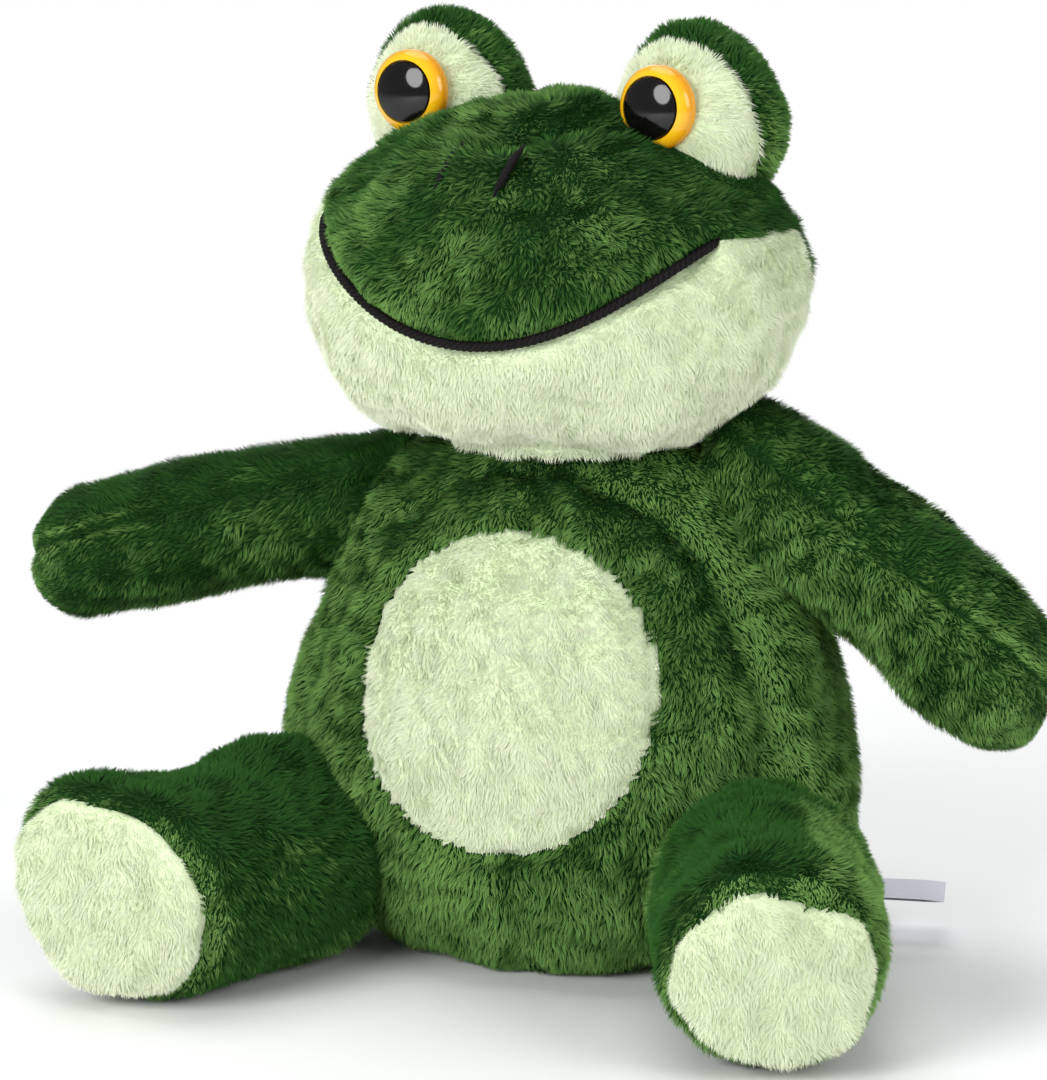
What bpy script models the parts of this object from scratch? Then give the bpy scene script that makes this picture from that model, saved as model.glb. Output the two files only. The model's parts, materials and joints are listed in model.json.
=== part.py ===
"""Seated plush frog, built as it is sewn: fur skins over stuffing, safety eyes held by washers.

The frog sits on the floor plane z = 0, faces -Y, and its own left side is +X.
The origin is the middle of the flat seat. The limbs and the head turn on sewn joints,
made here as a ball that lies in a shallow dish.
"""
import math

import bmesh
import bpy
from mathutils import Matrix, Vector

MM = 0.001

# Fabric and sewing
SKIN = 3.0 * MM
SEAM_GAP = 0.4 * MM
FIT_GAP = 0.35 * MM
OVERRUN = 20.0 * MM

# Torso
TORSO_HEIGHT = 124.0 * MM
TORSO_HALF_WIDTH = 64.0 * MM
BELLY_DEPTH = 50.0 * MM
BACK_DEPTH = 44.0 * MM
TORSO_SIDES = 24
TORSO_RINGS = 12
SIDE_SEAM_FORWARD = 25.0 * MM
TORSO_SHARES = (
    (0.000, 0.690, 0.660, 0.700),
    (0.048, 0.830, 0.800, 0.840),
    (0.121, 0.927, 0.920, 0.932),
    (0.242, 0.990, 0.990, 1.000),
    (0.371, 1.000, 1.000, 1.000),
    (0.500, 0.975, 0.970, 0.977),
    (0.597, 0.925, 0.900, 0.932),
    (0.677, 0.865, 0.830, 0.886),
    (0.750, 0.800, 0.750, 0.830),
    (0.815, 0.705, 0.680, 0.773),
    (0.863, 0.562, 0.612, 0.695),
)

# Belly patch
PATCH_RADIUS = 34.0 * MM
PATCH_HEIGHT = 64.0 * MM
PATCH_ASIDE = -2.5 * MM
PATCH_SIDES = 42

# Neck
NECK_HEIGHT = 88.0 * MM
NECK_RADIUS = TORSO_HEIGHT - NECK_HEIGHT
NECK_DOME_ANGLES = (49.0, 37.0, 24.0, 11.0)
HEAD_TURN = -4.0
HEAD_TILT = 2.0
HEAD_ASIDE = -5.0 * MM

# Head, measured from the neck pivot
HEAD_HALF_WIDTH = 55.5 * MM
HEAD_HALF_HEIGHT = 39.5 * MM
MUZZLE_DEPTH = 47.0 * MM
NAPE_DEPTH = 44.0 * MM
HEAD_RISE = 63.0 * MM
HEAD_FORWARD = 8.0 * MM
HEAD_SIDES = 28
HEAD_RINGS = 12
JAW_SQUARENESS = 2.5
CROWN_SQUARENESS = 2.0

# Mouth and chin
MOUTH_DROP = 11.3 * MM
MOUTH_HALF_WIDTH = 47.5 * MM
SMILE_RISE = 24.5 * MM
CHEEK_BACK = 4.0 * MM
MOUTH_CORD_RADIUS = 1.1 * MM
MOUTH_POINTS = 25

# Nostrils
NOSTRIL_SPACING = 14.5 * MM
NOSTRIL_ASIDE = -2.0 * MM
NOSTRIL_RISE = 25.0 * MM
NOSTRIL_LENGTH = 10.0 * MM
NOSTRIL_LEAN_SHARE = 0.2
NOSTRIL_RADIUS = 1.0 * MM
NOSTRIL_POINTS = 5

# Eye mounds, measured from the neck pivot
MOUND_SPACING = 58.5 * MM
MOUND_ASIDE = 1.7 * MM
RIGHT_MOUND_TURN = -8.0
LEFT_MOUND_TURN = -12.0
MOUND_RISE = 98.0 * MM
MOUND_FORWARD = 1.5 * MM
MOUND_HALF_WIDTH = 19.5 * MM
MOUND_HALF_DEPTH = 17.0 * MM
MOUND_HALF_HEIGHT = 22.0 * MM
MOUND_SIDES = 20
MOUND_RINGS = 8
HOOD_EDGE = 3.5 * MM
MOUND_BASE = 14.5 * MM

# Safety eyes
EYE_RADIUS = 9.0 * MM
EYE_RIM = 1.4 * MM
EYE_DOME = 4.2 * MM
EYE_LIFT = 3.0 * MM
EYE_SEAT = 2.1 * MM
PUPIL_RADIUS = 6.5 * MM
PUPIL_DEPTH = 1.6 * MM
DOME_ANGLES = (0.0, 14.0, 28.0)
SHANK_RADIUS = 2.5 * MM
SHANK_LENGTH = 9.0 * MM
WASHER_RADIUS = 6.5 * MM
WASHER_THICKNESS = 1.2 * MM
FACET_SAG = 0.5 * MM
EYE_SIDES = 20
DOME_STEPS = 3

# Arms
SHOULDER_SPACING = 98.0 * MM
SHOULDER_ASIDE = -3.0 * MM
RIGHT_SHOULDER_HEIGHT = 97.0 * MM
LEFT_SHOULDER_HEIGHT = 103.0 * MM
ARM_LENGTH = 77.0 * MM
ARM_RADIUS = 16.3 * MM
SHOULDER_BALL = 15.0 * MM
ARM_SIDES = 16
ARM_SHARES = (
    (0.00, 0.920),
    (0.20, 0.935),
    (0.45, 0.965),
    (0.68, 1.000),
    (0.82, 0.960),
    (0.92, 0.780),
    (0.98, 0.430),
)
SHOULDER_DISH_SIDES = 18
RIGHT_ARM_DROP = 9.5
RIGHT_ARM_FORWARD = 15.0
RIGHT_ARM_BEND = 5.0 * MM
LEFT_ARM_DROP = 29.5
LEFT_ARM_FORWARD = 4.0
LEFT_ARM_BEND = 8.0 * MM
ARM_LOWEST = 31.0

# Legs
HIP_SPACING = 107.0 * MM
HIP_FORWARD = 34.5 * MM
HIP_HEIGHT = 24.0 * MM
HIP_BALL = 20.7 * MM
LEG_LENGTH = 56.0 * MM
LEG_RADIUS = 24.5 * MM
RIGHT_LEG_SPLAY = 21.5
LEFT_LEG_SPLAY = 19.5
RIGHT_SOLE_TURN = 16.0
LEFT_SOLE_TURN = 0.0
LEG_SIDES = 20
LEG_SHARES = (
    (0.00, 0.845),
    (0.25, 0.940),
    (0.50, 0.975),
    (0.70, 0.965),
    (0.86, 1.000),
    (1.00, 0.880),
)
HIP_DISH_SIDES = 22
SOLE_BULGE = 5.5 * MM
SOLE_WRAP = 2.0 * MM
SOLE_TILT = 7.0
SOLE_RINGS = 3
LEG_HIGHEST = 25.0

# Rings of the ball at a limb's root, from the opening of its skin outward
ROOT_ANGLES = (24.0, 46.0, 68.0)

# Seat weight and label
POUCH_HALF_WIDTH = 30.0 * MM
POUCH_HALF_DEPTH = 22.0 * MM
POUCH_HEIGHT = 14.0 * MM
POUCH_SIDES = 16
POUCH_ANGLES = (0.0, 25.0, 50.0, 72.0)
LABEL_LENGTH = 37.0 * MM
LABEL_WIDTH = 15.0 * MM
LABEL_THICKNESS = 0.7 * MM
LABEL_HEIGHT = 9.5 * MM
LABEL_BACK = 8.0 * MM
LABEL_TURN = 12.0
LABEL_ROOT = 44.0 * MM


def clear_scene():
    """Remove whatever the startup file holds."""
    for item in list(bpy.data.objects):
        bpy.data.objects.remove(item, do_unlink=True)


def finish_material(name, colour, roughness, metallic=0.0):
    """A Principled material with one colour."""
    material = bpy.data.materials.new(name)
    material.use_nodes = True
    shader = material.node_tree.nodes["Principled BSDF"]
    shader.inputs["Base Color"].default_value = (*colour, 1.0)
    shader.inputs["Roughness"].default_value = roughness
    shader.inputs["Metallic"].default_value = metallic
    return material


def read_shares(table, place):
    """Smooth reading of a table of shares: a cubic that passes through each row."""
    last = len(table) - 1
    index = 0
    while index < last - 1 and place > table[index + 1][0]:
        index += 1
    before = table[max(index - 1, 0)]
    low = table[index]
    high = table[index + 1]
    after = table[min(index + 2, last)]
    span = high[0] - low[0]
    step = (place - low[0]) / span
    values = []
    for column in range(1, len(low)):
        slope_low = span * (high[column] - before[column]) / (high[0] - before[0])
        slope_high = span * (after[column] - low[column]) / (after[0] - low[0])
        rise = high[column] - low[column]
        bend = 3 * rise - 2 * slope_low - slope_high
        twist = slope_low + slope_high - 2 * rise
        values.append(low[column] + slope_low * step + bend * step ** 2 + twist * step ** 3)
    return values


def rounded(share, squareness):
    """Height of a unit superellipse at a share of its half width."""
    return max(1 - abs(share) ** squareness, 0) ** (1 / squareness)


def flat_ring(height, half_width, front, back, sides, forward=0.0):
    """One level ring of a body that is deeper in front than behind."""
    points = []
    for index in range(sides):
        angle = 2 * math.pi * index / sides
        depth = back if math.sin(angle) > 0 else front
        x = half_width * math.cos(angle)
        y = depth * math.sin(angle) - forward
        points.append(Vector((x, y, height)))
    return points


def round_ring(centre, frame, radius, sides):
    """One ring across a limb. The frame's second and third columns span the ring."""
    points = []
    for index in range(sides):
        angle = 2 * math.pi * index / sides
        across = frame.col[1] * (radius * math.cos(angle))
        upward = frame.col[2] * (radius * math.sin(angle))
        points.append(centre + across + upward)
    return points


def loft(name, rings, first=None, last=None, joined=False):
    """Skin a list of rings. An end with a point closes in a fan, one without stays open."""
    mesh = bpy.data.meshes.new(name)
    build = bmesh.new()
    rows = [[build.verts.new(point) for point in ring] for ring in rings]
    pairs = list(zip(rows, rows[1:]))
    if joined:
        pairs.append((rows[-1], rows[0]))
    for low, high in pairs:
        for index in range(len(low)):
            nearby = (index + 1) % len(low)
            build.faces.new((low[index], low[nearby], high[nearby], high[index]))
    for row, tip in ((rows[0], first), (rows[-1], last)):
        if tip is not None:
            centre = build.verts.new(tip)
            for index in range(len(row)):
                build.faces.new((row[index], row[(index + 1) % len(row)], centre))
    bmesh.ops.recalc_face_normals(build, faces=build.faces)
    face_outward(build)
    build.to_mesh(mesh)
    build.free()
    mesh.shade_smooth()
    return mesh


def face_outward(build):
    """Turn the faces over where most of them look at the middle."""
    middle = sum((vert.co for vert in build.verts), Vector()) / len(build.verts)
    outward = sum(face.normal.dot(face.calc_center_median() - middle) * face.calc_area()
                  for face in build.faces)
    if outward < 0:
        bmesh.ops.reverse_faces(build, faces=build.faces)


def sink(mesh, depth):
    """Move a surface in along its normals by an even depth. A negative depth moves it out."""
    build = bmesh.new()
    build.from_mesh(mesh)
    build.normal_update()
    moves = [(vert, vert.normal * (depth * vert.calc_shell_factor())) for vert in build.verts]
    for vert, move in moves:
        vert.co -= move
    build.to_mesh(mesh)
    build.free()
    return mesh


def place(name, mesh, material, parent=None, matrix=None):
    """Make one named piece from a mesh."""
    piece = bpy.data.objects.new(name, mesh)
    bpy.context.scene.collection.objects.link(piece)
    piece.data.materials.clear()
    if material is not None:
        piece.data.materials.append(material)
    if parent is not None:
        piece.parent = parent
    if matrix is not None:
        piece.matrix_local = matrix
    return piece


def cutter(name, mesh, parent=None, matrix=None):
    """Make a guide that shapes other pieces and isn't one itself."""
    guide = place(name, mesh, None, parent, matrix)
    guide.hide_render = True
    guide.display_type = 'WIRE'
    return guide


def pivot(name, location, rotation=(0.0, 0.0, 0.0), parent=None):
    """Make an empty on a joint."""
    empty = bpy.data.objects.new(name, None)
    empty.location = location
    empty.rotation_euler = rotation
    empty.parent = parent
    bpy.context.scene.collection.objects.link(empty)
    return empty


def thicken(piece):
    """Give a fur surface the thickness of its fabric and pile, inwards."""
    shell = piece.modifiers.new("fabric", 'SOLIDIFY')
    shell.thickness = SKIN
    shell.offset = -1.0
    shell.use_even_offset = True


def cut(piece, guide, operation='DIFFERENCE', solver='EXACT'):
    """Cut a piece with a guide, or keep only what lies inside the guide."""
    boolean = piece.modifiers.new(guide.name, 'BOOLEAN')
    boolean.operation = operation
    boolean.solver = solver
    boolean.object = guide


def cut_torso(piece, guide, operation='DIFFERENCE'):
    """Cut a piece of the torso. The exact solver can lose a whole panel here."""
    cut(piece, guide, operation, 'MANIFOLD')


def settled_mesh(piece):
    """The mesh that a piece has after its modifiers."""
    bpy.context.view_layer.update()
    evaluated = piece.evaluated_get(bpy.context.evaluated_depsgraph_get())
    return bpy.data.meshes.new_from_object(evaluated)


def ball_mesh(name, radius, sides):
    """A closed ball."""
    mesh = bpy.data.meshes.new(name)
    build = bmesh.new()
    bmesh.ops.create_uvsphere(build, u_segments=sides, v_segments=sides // 2, radius=radius)
    build.to_mesh(mesh)
    build.free()
    return mesh


def dish_radius(radius, sides):
    """Radius of a faceted dish whose flattest spots still clear the ball."""
    return (radius + FIT_GAP) / math.cos(math.pi / sides) ** 2


def box_mesh(name, low, high):
    """A box between two corners."""
    mesh = bpy.data.meshes.new(name)
    build = bmesh.new()
    size = Vector(high) - Vector(low)
    middle = (Vector(high) + Vector(low)) / 2
    fitted = Matrix.Translation(middle) @ Matrix.Diagonal((*size, 1.0))
    bmesh.ops.create_cube(build, size=1.0, matrix=fitted)
    build.to_mesh(mesh)
    build.free()
    return mesh


def turned(name, profile, sides, joined=False):
    """Turn a profile of (distance forward, radius) about the local -Y axis."""
    frame = Matrix(((0, 1, 0), (-1, 0, 0), (0, 0, 1)))
    rings = [round_ring(Vector((0, -forward, 0)), frame, radius, sides) for forward, radius in profile]
    first = None if joined else Vector((0, -profile[0][0], 0))
    last = None if joined else Vector((0, -profile[-1][0], 0))
    return loft(name, rings, first, last, joined)


def torso_rings(sides):
    """The torso's rings from the flat seat up to the neck dome."""
    rings = []
    top = TORSO_SHARES[-1][0]
    for index in range(TORSO_RINGS):
        share = top * (index / (TORSO_RINGS - 1))
        width, front, back = read_shares(TORSO_SHARES, share)
        rings.append(flat_ring(TORSO_HEIGHT * share, TORSO_HALF_WIDTH * width,
                               BELLY_DEPTH * front, BACK_DEPTH * back, sides))
    for degrees in NECK_DOME_ANGLES:
        angle = math.radians(degrees)
        radius = NECK_RADIUS * math.sin(angle)
        height = NECK_HEIGHT + NECK_RADIUS * math.cos(angle)
        rings.append(flat_ring(height, radius, radius, radius, sides))
    return rings


def torso_surface(name, sides):
    """The whole outer surface of the torso, closed."""
    top = Vector((0, 0, TORSO_HEIGHT))
    return loft(name, torso_rings(sides), Vector((0, 0, 0)), top)


def head_profile(height):
    """Half width, front depth and back depth of the head at a height over its middle."""
    share = height / HEAD_HALF_HEIGHT
    squareness = JAW_SQUARENESS if share < 0 else CROWN_SQUARENESS
    size = rounded(share, squareness)
    return HEAD_HALF_WIDTH * size, MUZZLE_DEPTH * size, NAPE_DEPTH * size


def head_surface(name, sides):
    """The whole outer surface of the head, closed, about the neck pivot."""
    rings = []
    for index in range(HEAD_RINGS):
        height = -HEAD_HALF_HEIGHT * math.cos(math.pi * (index + 1) / (HEAD_RINGS + 1))
        width, front, back = head_profile(height)
        rings.append(flat_ring(HEAD_RISE + height, width, front, back, sides, HEAD_FORWARD))
    bottom = Vector((0, -HEAD_FORWARD, HEAD_RISE - HEAD_HALF_HEIGHT))
    crown = Vector((0, -HEAD_FORWARD, HEAD_RISE + HEAD_HALF_HEIGHT))
    return loft(name, rings, bottom, crown)


def muzzle_point(x, height, stand_off):
    """A point in front of the muzzle's surface, off it by a distance along its normal."""
    width, front, back = head_profile(height)
    depth = front * rounded(x / width, 2)
    gradient = Vector((x / width ** 2, -depth / front ** 2, height / HEAD_HALF_HEIGHT ** 2))
    surface = Vector((x, -HEAD_FORWARD - depth, HEAD_RISE + height))
    return surface + gradient.normalized() * stand_off


def smile_height(x):
    """Height of the mouth seam over the head's middle."""
    return -MOUTH_DROP + SMILE_RISE * (x / MOUTH_HALF_WIDTH) ** 2


def limb_frame(direction):
    """Axes of a limb: its own direction, across it, and upward."""
    along = direction.normalized()
    across = Vector((0, 0, 1)).cross(along).normalized()
    upward = along.cross(across)
    return Matrix((along, across, upward)).transposed()


def ring_frame(slant):
    """Axes of a ring across a limb, with the ring turned by a slope toward local +Y."""
    return Matrix(((1, -slant, 0), (0, 1, 0), (0, 0, 1)))


def limb_rings(shares, length, radius, ball, sides, bend=0.0, slant=0.0):
    """Rings of a limb along its local X: the ball at the joint, then the table of shares."""
    rings = []
    for degrees in ROOT_ANGLES:
        angle = math.radians(degrees)
        centre = Vector((-ball * math.cos(angle), 0, 0))
        rings.append(round_ring(centre, ring_frame(0.0), ball * math.sin(angle), sides))
    for share, size in shares:
        centre = Vector((length * share, 0, -bend * share ** 2))
        rings.append(round_ring(centre, ring_frame(slant * share ** 2), radius * size, sides))
    return rings


def arm_surface(name, sides, bend, closed):
    """An arm along local +X with its ball at the origin."""
    rings = limb_rings(ARM_SHARES, ARM_LENGTH, ARM_RADIUS, SHOULDER_BALL, sides, bend)
    root = Vector((-SHOULDER_BALL, 0, 0)) if closed else None
    tip = Vector((ARM_LENGTH, 0, -bend))
    return loft(name, rings, root, tip)


def arm_pivot(side, name, drop, forward):
    """The empty on a shoulder, with local +X along the arm."""
    lean = math.radians(forward)
    fall = math.radians(drop)
    outward = side * math.cos(lean) * math.cos(fall)
    ahead = -math.sin(lean) * math.cos(fall)
    height = LEFT_SHOULDER_HEIGHT if side > 0 else RIGHT_SHOULDER_HEIGHT
    location = (SHOULDER_ASIDE + side * SHOULDER_SPACING / 2, 0, height)
    frame = limb_frame(Vector((outward, ahead, -math.sin(fall))))
    return pivot(name, location, frame.to_euler())


def leg_surface(name, sides, turn, closed):
    """A leg along local +X with its ball at the origin and its bulging sole."""
    slant = math.tan(math.radians(turn))
    rings = limb_rings(LEG_SHARES, LEG_LENGTH, LEG_RADIUS, HIP_BALL, sides, slant=slant)
    sole_radius = LEG_RADIUS * LEG_SHARES[-1][1]
    for index in range(1, SOLE_RINGS):
        angle = math.pi / 2 * index / SOLE_RINGS
        centre = Vector((LEG_LENGTH + SOLE_BULGE * math.sin(angle), 0, 0))
        rings.append(round_ring(centre, ring_frame(slant), sole_radius * math.cos(angle), sides))
    root = Vector((-HIP_BALL, 0, 0)) if closed else None
    return loft(name, rings, root, Vector((LEG_LENGTH + SOLE_BULGE, 0, 0)))


def leg_pivot(side, name, splay_angle):
    """The empty on a hip, with local +X along the leg."""
    splay = math.radians(splay_angle)
    direction = Vector((side * math.sin(splay), -math.cos(splay), 0))
    location = (side * HIP_SPACING / 2, -HIP_FORWARD, HIP_HEIGHT)
    return pivot(name, location, limb_frame(direction).to_euler())


def make_materials():
    """The plush colours, the eye plastics, the thread and what is inside."""
    return {
        "dark": finish_material("dark_green_plush", (0.035, 0.13, 0.03), 0.95),
        "pale": finish_material("pale_green_plush", (0.66, 0.84, 0.52), 0.95),
        "thread": finish_material("black_thread", (0.012, 0.010, 0.012), 0.8),
        "amber": finish_material("amber_plastic", (0.90, 0.42, 0.01), 0.12),
        "black": finish_material("black_plastic", (0.01, 0.009, 0.01), 0.08),
        "washer": finish_material("white_plastic", (0.80, 0.80, 0.78), 0.4),
        "fibre": finish_material("stuffing_fibre", (0.86, 0.86, 0.84), 1.0),
        "pouch": finish_material("pouch_cloth", (0.75, 0.74, 0.70), 0.9),
        "label": finish_material("label_cloth", (0.80, 0.80, 0.84), 0.7),
    }


def torso_cutters(arms, hips):
    """Dishes for the four limbs."""
    guides = []
    for name, empty, radius, sides in arms + hips:
        mesh = ball_mesh(name + "_dish", dish_radius(radius, sides), sides)
        guides.append(cutter(name + "_dish", mesh, None, Matrix.Translation(empty.location)))
    return guides


def arm_room(name, side, forward, bend):
    """A guide: the arm at its lowest, a little fatter."""
    mesh = sink(arm_surface(name, ARM_SIDES, bend, True), -FIT_GAP)
    empty = arm_pivot(side, name + "_pivot", ARM_LOWEST, forward)
    return cutter(name, mesh, empty)


def leg_room(name, side, splay, turn):
    """A guide: the leg at its highest, a little fatter."""
    mesh = sink(leg_surface(name, LEG_SIDES, turn, True), -FIT_GAP)
    mesh.transform(Matrix.Rotation(-math.radians(LEG_HIGHEST), 4, 'Y'))
    empty = leg_pivot(side, name + "_pivot", splay)
    return cutter(name, mesh, empty)


def make_torso(materials, guides):
    """Fur panels, belly patch, stuffing, seat weight and label of the torso."""
    body = cutter("torso_shell", torso_surface("torso_shell", TORSO_SIDES))
    thicken(body)
    for guide in guides:
        cut_torso(body, guide)
    shell = settled_mesh(body)
    reach = TORSO_HEIGHT + OVERRUN
    seam = -SIDE_SEAM_FORWARD
    half_gap = SEAM_GAP / 2
    back_region = box_mesh("back_region", (-reach, seam + half_gap, -reach), (reach, reach, reach))
    patch_region = cutter("patch_region", patch_tube("patch_region", PATCH_RADIUS - half_gap))
    patch_hole = cutter("patch_hole", patch_tube("patch_hole", PATCH_RADIUS + half_gap))
    back = place("torso_back_skin", shell.copy(), materials["dark"])
    cut_torso(back, cutter("back_region", back_region), 'INTERSECT')
    for name, low, high in (("right", -reach, -half_gap), ("left", half_gap, reach)):
        region = box_mesh(name + "_front_region", (low, -reach, -reach), (high, seam - half_gap, reach))
        front = place("torso_front_%s_skin" % name, shell.copy(), materials["dark"])
        cut_torso(front, patch_hole)
        cut_torso(front, cutter(name + "_front_region", region), 'INTERSECT')
    patch = place("belly_patch", shell.copy(), materials["pale"])
    cut_torso(patch, patch_region, 'INTERSECT')
    core_mesh = sink(torso_surface("torso_stuffing", TORSO_SIDES // 2), SKIN + FIT_GAP)
    core = place("torso_stuffing", core_mesh, materials["fibre"])
    for guide in guides:
        cut_torso(core, guide)
    cut_torso(core, cutter("pouch_room", pouch_mesh("pouch_room", FIT_GAP, OVERRUN)))
    place("seat_pouch", pouch_mesh("seat_pouch", 0.0, 0.0), materials["pouch"])
    label = place("care_label", label_mesh("care_label"), materials["label"])
    cut(label, cutter("label_stop", sink(torso_surface("label_stop", TORSO_SIDES), -FIT_GAP)))


def patch_tube(name, radius):
    """A tube along Y that outlines the belly patch, in front of the side seam."""
    profile = ((SIDE_SEAM_FORWARD + SEAM_GAP, radius), (BELLY_DEPTH + OVERRUN, radius))
    mesh = turned(name, profile, PATCH_SIDES)
    mesh.transform(Matrix.Translation((PATCH_ASIDE, 0, PATCH_HEIGHT)))
    return mesh


def pouch_mesh(name, spare, drop):
    """The pellet pouch in the seat: a low dome on a flat bottom, or the room for it."""
    base = SKIN + FIT_GAP
    width = POUCH_HALF_WIDTH + spare
    depth = POUCH_HALF_DEPTH + spare
    rings = []
    if drop > 0:
        rings.append(flat_ring(base - drop, width, depth, depth, POUCH_SIDES))
    for degrees in POUCH_ANGLES:
        angle = math.radians(degrees)
        height = base + (POUCH_HEIGHT + spare) * math.sin(angle)
        rings.append(flat_ring(height, width * math.cos(angle), depth * math.cos(angle),
                               depth * math.cos(angle), POUCH_SIDES))
    return loft(name, rings, Vector((0, 0, base - drop)), Vector((0, 0, base + POUCH_HEIGHT + spare)))


def label_mesh(name):
    """The bare cloth label, sewn into the side seam by the floor."""
    low = (LABEL_ROOT, -LABEL_WIDTH / 2, -LABEL_THICKNESS / 2)
    high = (LABEL_ROOT + LABEL_LENGTH, LABEL_WIDTH / 2, LABEL_THICKNESS / 2)
    mesh = box_mesh(name, low, high)
    turn = Matrix.Rotation(math.radians(LABEL_TURN), 4, 'Z')
    mesh.transform(Matrix.Translation((0, LABEL_BACK, LABEL_HEIGHT)) @ turn)
    return mesh


def chin_block(name, spare):
    """A guide: all that lies under the smile and in front of the cheeks."""
    outline = []
    reach = HEAD_HALF_WIDTH + OVERRUN
    for index in range(MOUTH_POINTS):
        x = MOUTH_HALF_WIDTH * (2 * index / (MOUTH_POINTS - 1) - 1)
        outline.append((x, HEAD_RISE + smile_height(x) + spare))
    corner = outline[-1][1]
    outline += [(reach, corner), (reach, -OVERRUN), (-reach, -OVERRUN), (-reach, corner)]
    front = -(HEAD_FORWARD + MUZZLE_DEPTH + OVERRUN)
    back = CHEEK_BACK + spare
    mesh = bpy.data.meshes.new(name)
    build = bmesh.new()
    face = build.faces.new([build.verts.new((x, front, z)) for x, z in outline])
    pushed = bmesh.ops.extrude_face_region(build, geom=[face])
    moved = [item for item in pushed["geom"] if isinstance(item, bmesh.types.BMVert)]
    bmesh.ops.translate(build, verts=moved, vec=(0, back - front, 0))
    bmesh.ops.recalc_face_normals(build, faces=build.faces)
    build.to_mesh(mesh)
    build.free()
    return mesh


def make_head(materials, head, eyes):
    """Fur panels and stuffing of the head, with the neck dish and the eye mounds' sockets."""
    dish_ball = ball_mesh("neck_dish", dish_radius(NECK_RADIUS, HEAD_SIDES), HEAD_SIDES)
    dish = cutter("neck_dish", dish_ball, None, Matrix.Translation((0, 0, NECK_HEIGHT)))
    body = cutter("head_shell", head_surface("head_shell", HEAD_SIDES), head)
    thicken(body)
    core_mesh = sink(head_surface("head_stuffing", HEAD_SIDES // 2), SKIN + FIT_GAP)
    core = place("head_stuffing", core_mesh, materials["fibre"], head)
    for piece in (body, core):
        cut(piece, dish)
        for guides in eyes:
            cut(piece, guides["socket"])
            cut(piece, guides["seat"])
    shell = settled_mesh(body)
    skin = place("head_skin", shell.copy(), materials["dark"], head)
    cut(skin, cutter("chin_room", chin_block("chin_room", SEAM_GAP), head))
    chin = place("chin_panel", shell.copy(), materials["pale"], head)
    cut(chin, cutter("chin_region", chin_block("chin_region", 0.0), head), 'INTERSECT')


def thread_line(name, points, radius, material, parent):
    """A round thread through a list of points."""
    curve = bpy.data.curves.new(name, 'CURVE')
    curve.dimensions = '3D'
    curve.bevel_depth = radius
    curve.bevel_resolution = 1
    curve.use_fill_caps = True
    spline = curve.splines.new('POLY')
    spline.points.add(len(points) - 1)
    for knot, point in zip(spline.points, points):
        knot.co = (*point, 1.0)
    piece = bpy.data.objects.new(name, curve)
    bpy.context.scene.collection.objects.link(piece)
    piece.data.materials.append(material)
    piece.parent = parent
    return piece


def make_face(materials, head):
    """The mouth cord on the chin seam and the two stitched nostrils."""
    stand_off = MOUTH_CORD_RADIUS + FIT_GAP
    points = []
    for index in range(MOUTH_POINTS):
        x = MOUTH_HALF_WIDTH * (2 * index / (MOUTH_POINTS - 1) - 1)
        points.append(muzzle_point(x, smile_height(x), stand_off))
    thread_line("mouth_cord", points, MOUTH_CORD_RADIUS, materials["thread"], head)
    for side, name in ((-1, "right_nostril"), (1, "left_nostril")):
        points = []
        for index in range(NOSTRIL_POINTS):
            step = NOSTRIL_LENGTH * (index / (NOSTRIL_POINTS - 1) - 0.5)
            x = NOSTRIL_ASIDE + side * NOSTRIL_SPACING / 2 + step * NOSTRIL_LEAN_SHARE
            points.append(muzzle_point(x, NOSTRIL_RISE + step, NOSTRIL_RADIUS + FIT_GAP))
        thread_line(name, points, NOSTRIL_RADIUS, materials["thread"], head)


def mound_ring(forward, sides):
    """One upright ring of an eye mound at a distance in front of its middle."""
    size = rounded(forward / MOUND_HALF_DEPTH, 2)
    points = []
    for index in range(sides):
        angle = 2 * math.pi * index / sides
        points.append(Vector((MOUND_HALF_WIDTH * size * math.cos(angle), -forward,
                              MOUND_HALF_HEIGHT * size * math.sin(angle))))
    return points


def mound_surface(name, sides):
    """The whole outer surface of an eye mound, closed, about its middle."""
    rings = []
    for index in range(1, MOUND_RINGS):
        forward = -MOUND_HALF_DEPTH * math.cos(math.pi * index / MOUND_RINGS)
        rings.append(mound_ring(forward, sides))
    return loft(name, rings, Vector((0, MOUND_HALF_DEPTH, 0)), Vector((0, -MOUND_HALF_DEPTH, 0)))


def eye_seat_plane():
    """Distance of the flat eye seat in front of the mound's middle."""
    return MOUND_HALF_DEPTH * rounded(EYE_LIFT / MOUND_HALF_HEIGHT, 2) - EYE_SEAT


def washer_front():
    """Distance of the washer behind the eye's flange, where its edge meets the patch's lining."""
    lining_height = MOUND_HALF_HEIGHT - SKIN
    lining = (MOUND_HALF_DEPTH - SKIN) * rounded((EYE_LIFT + WASHER_RADIUS) / lining_height, 2)
    return eye_seat_plane() + FIT_GAP - (lining - FIT_GAP - FACET_SAG)


def iris_profile():
    """Profile of the amber moulding: shank, flange and dome, with a pocket for the pupil."""
    dome = []
    for degrees in DOME_ANGLES:
        angle = math.radians(degrees)
        dome.append((EYE_RIM + EYE_DOME * math.sin(angle), EYE_RADIUS * math.cos(angle)))
    lip = PUPIL_RADIUS + FIT_GAP
    lip_rise = EYE_RIM + EYE_DOME * rounded(lip / EYE_RADIUS, 2)
    return ([(-SHANK_LENGTH, SHANK_RADIUS), (0.0, SHANK_RADIUS), (0.0, EYE_RADIUS)]
            + dome + [(lip_rise, lip), (lip_rise - PUPIL_DEPTH, lip)])


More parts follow.
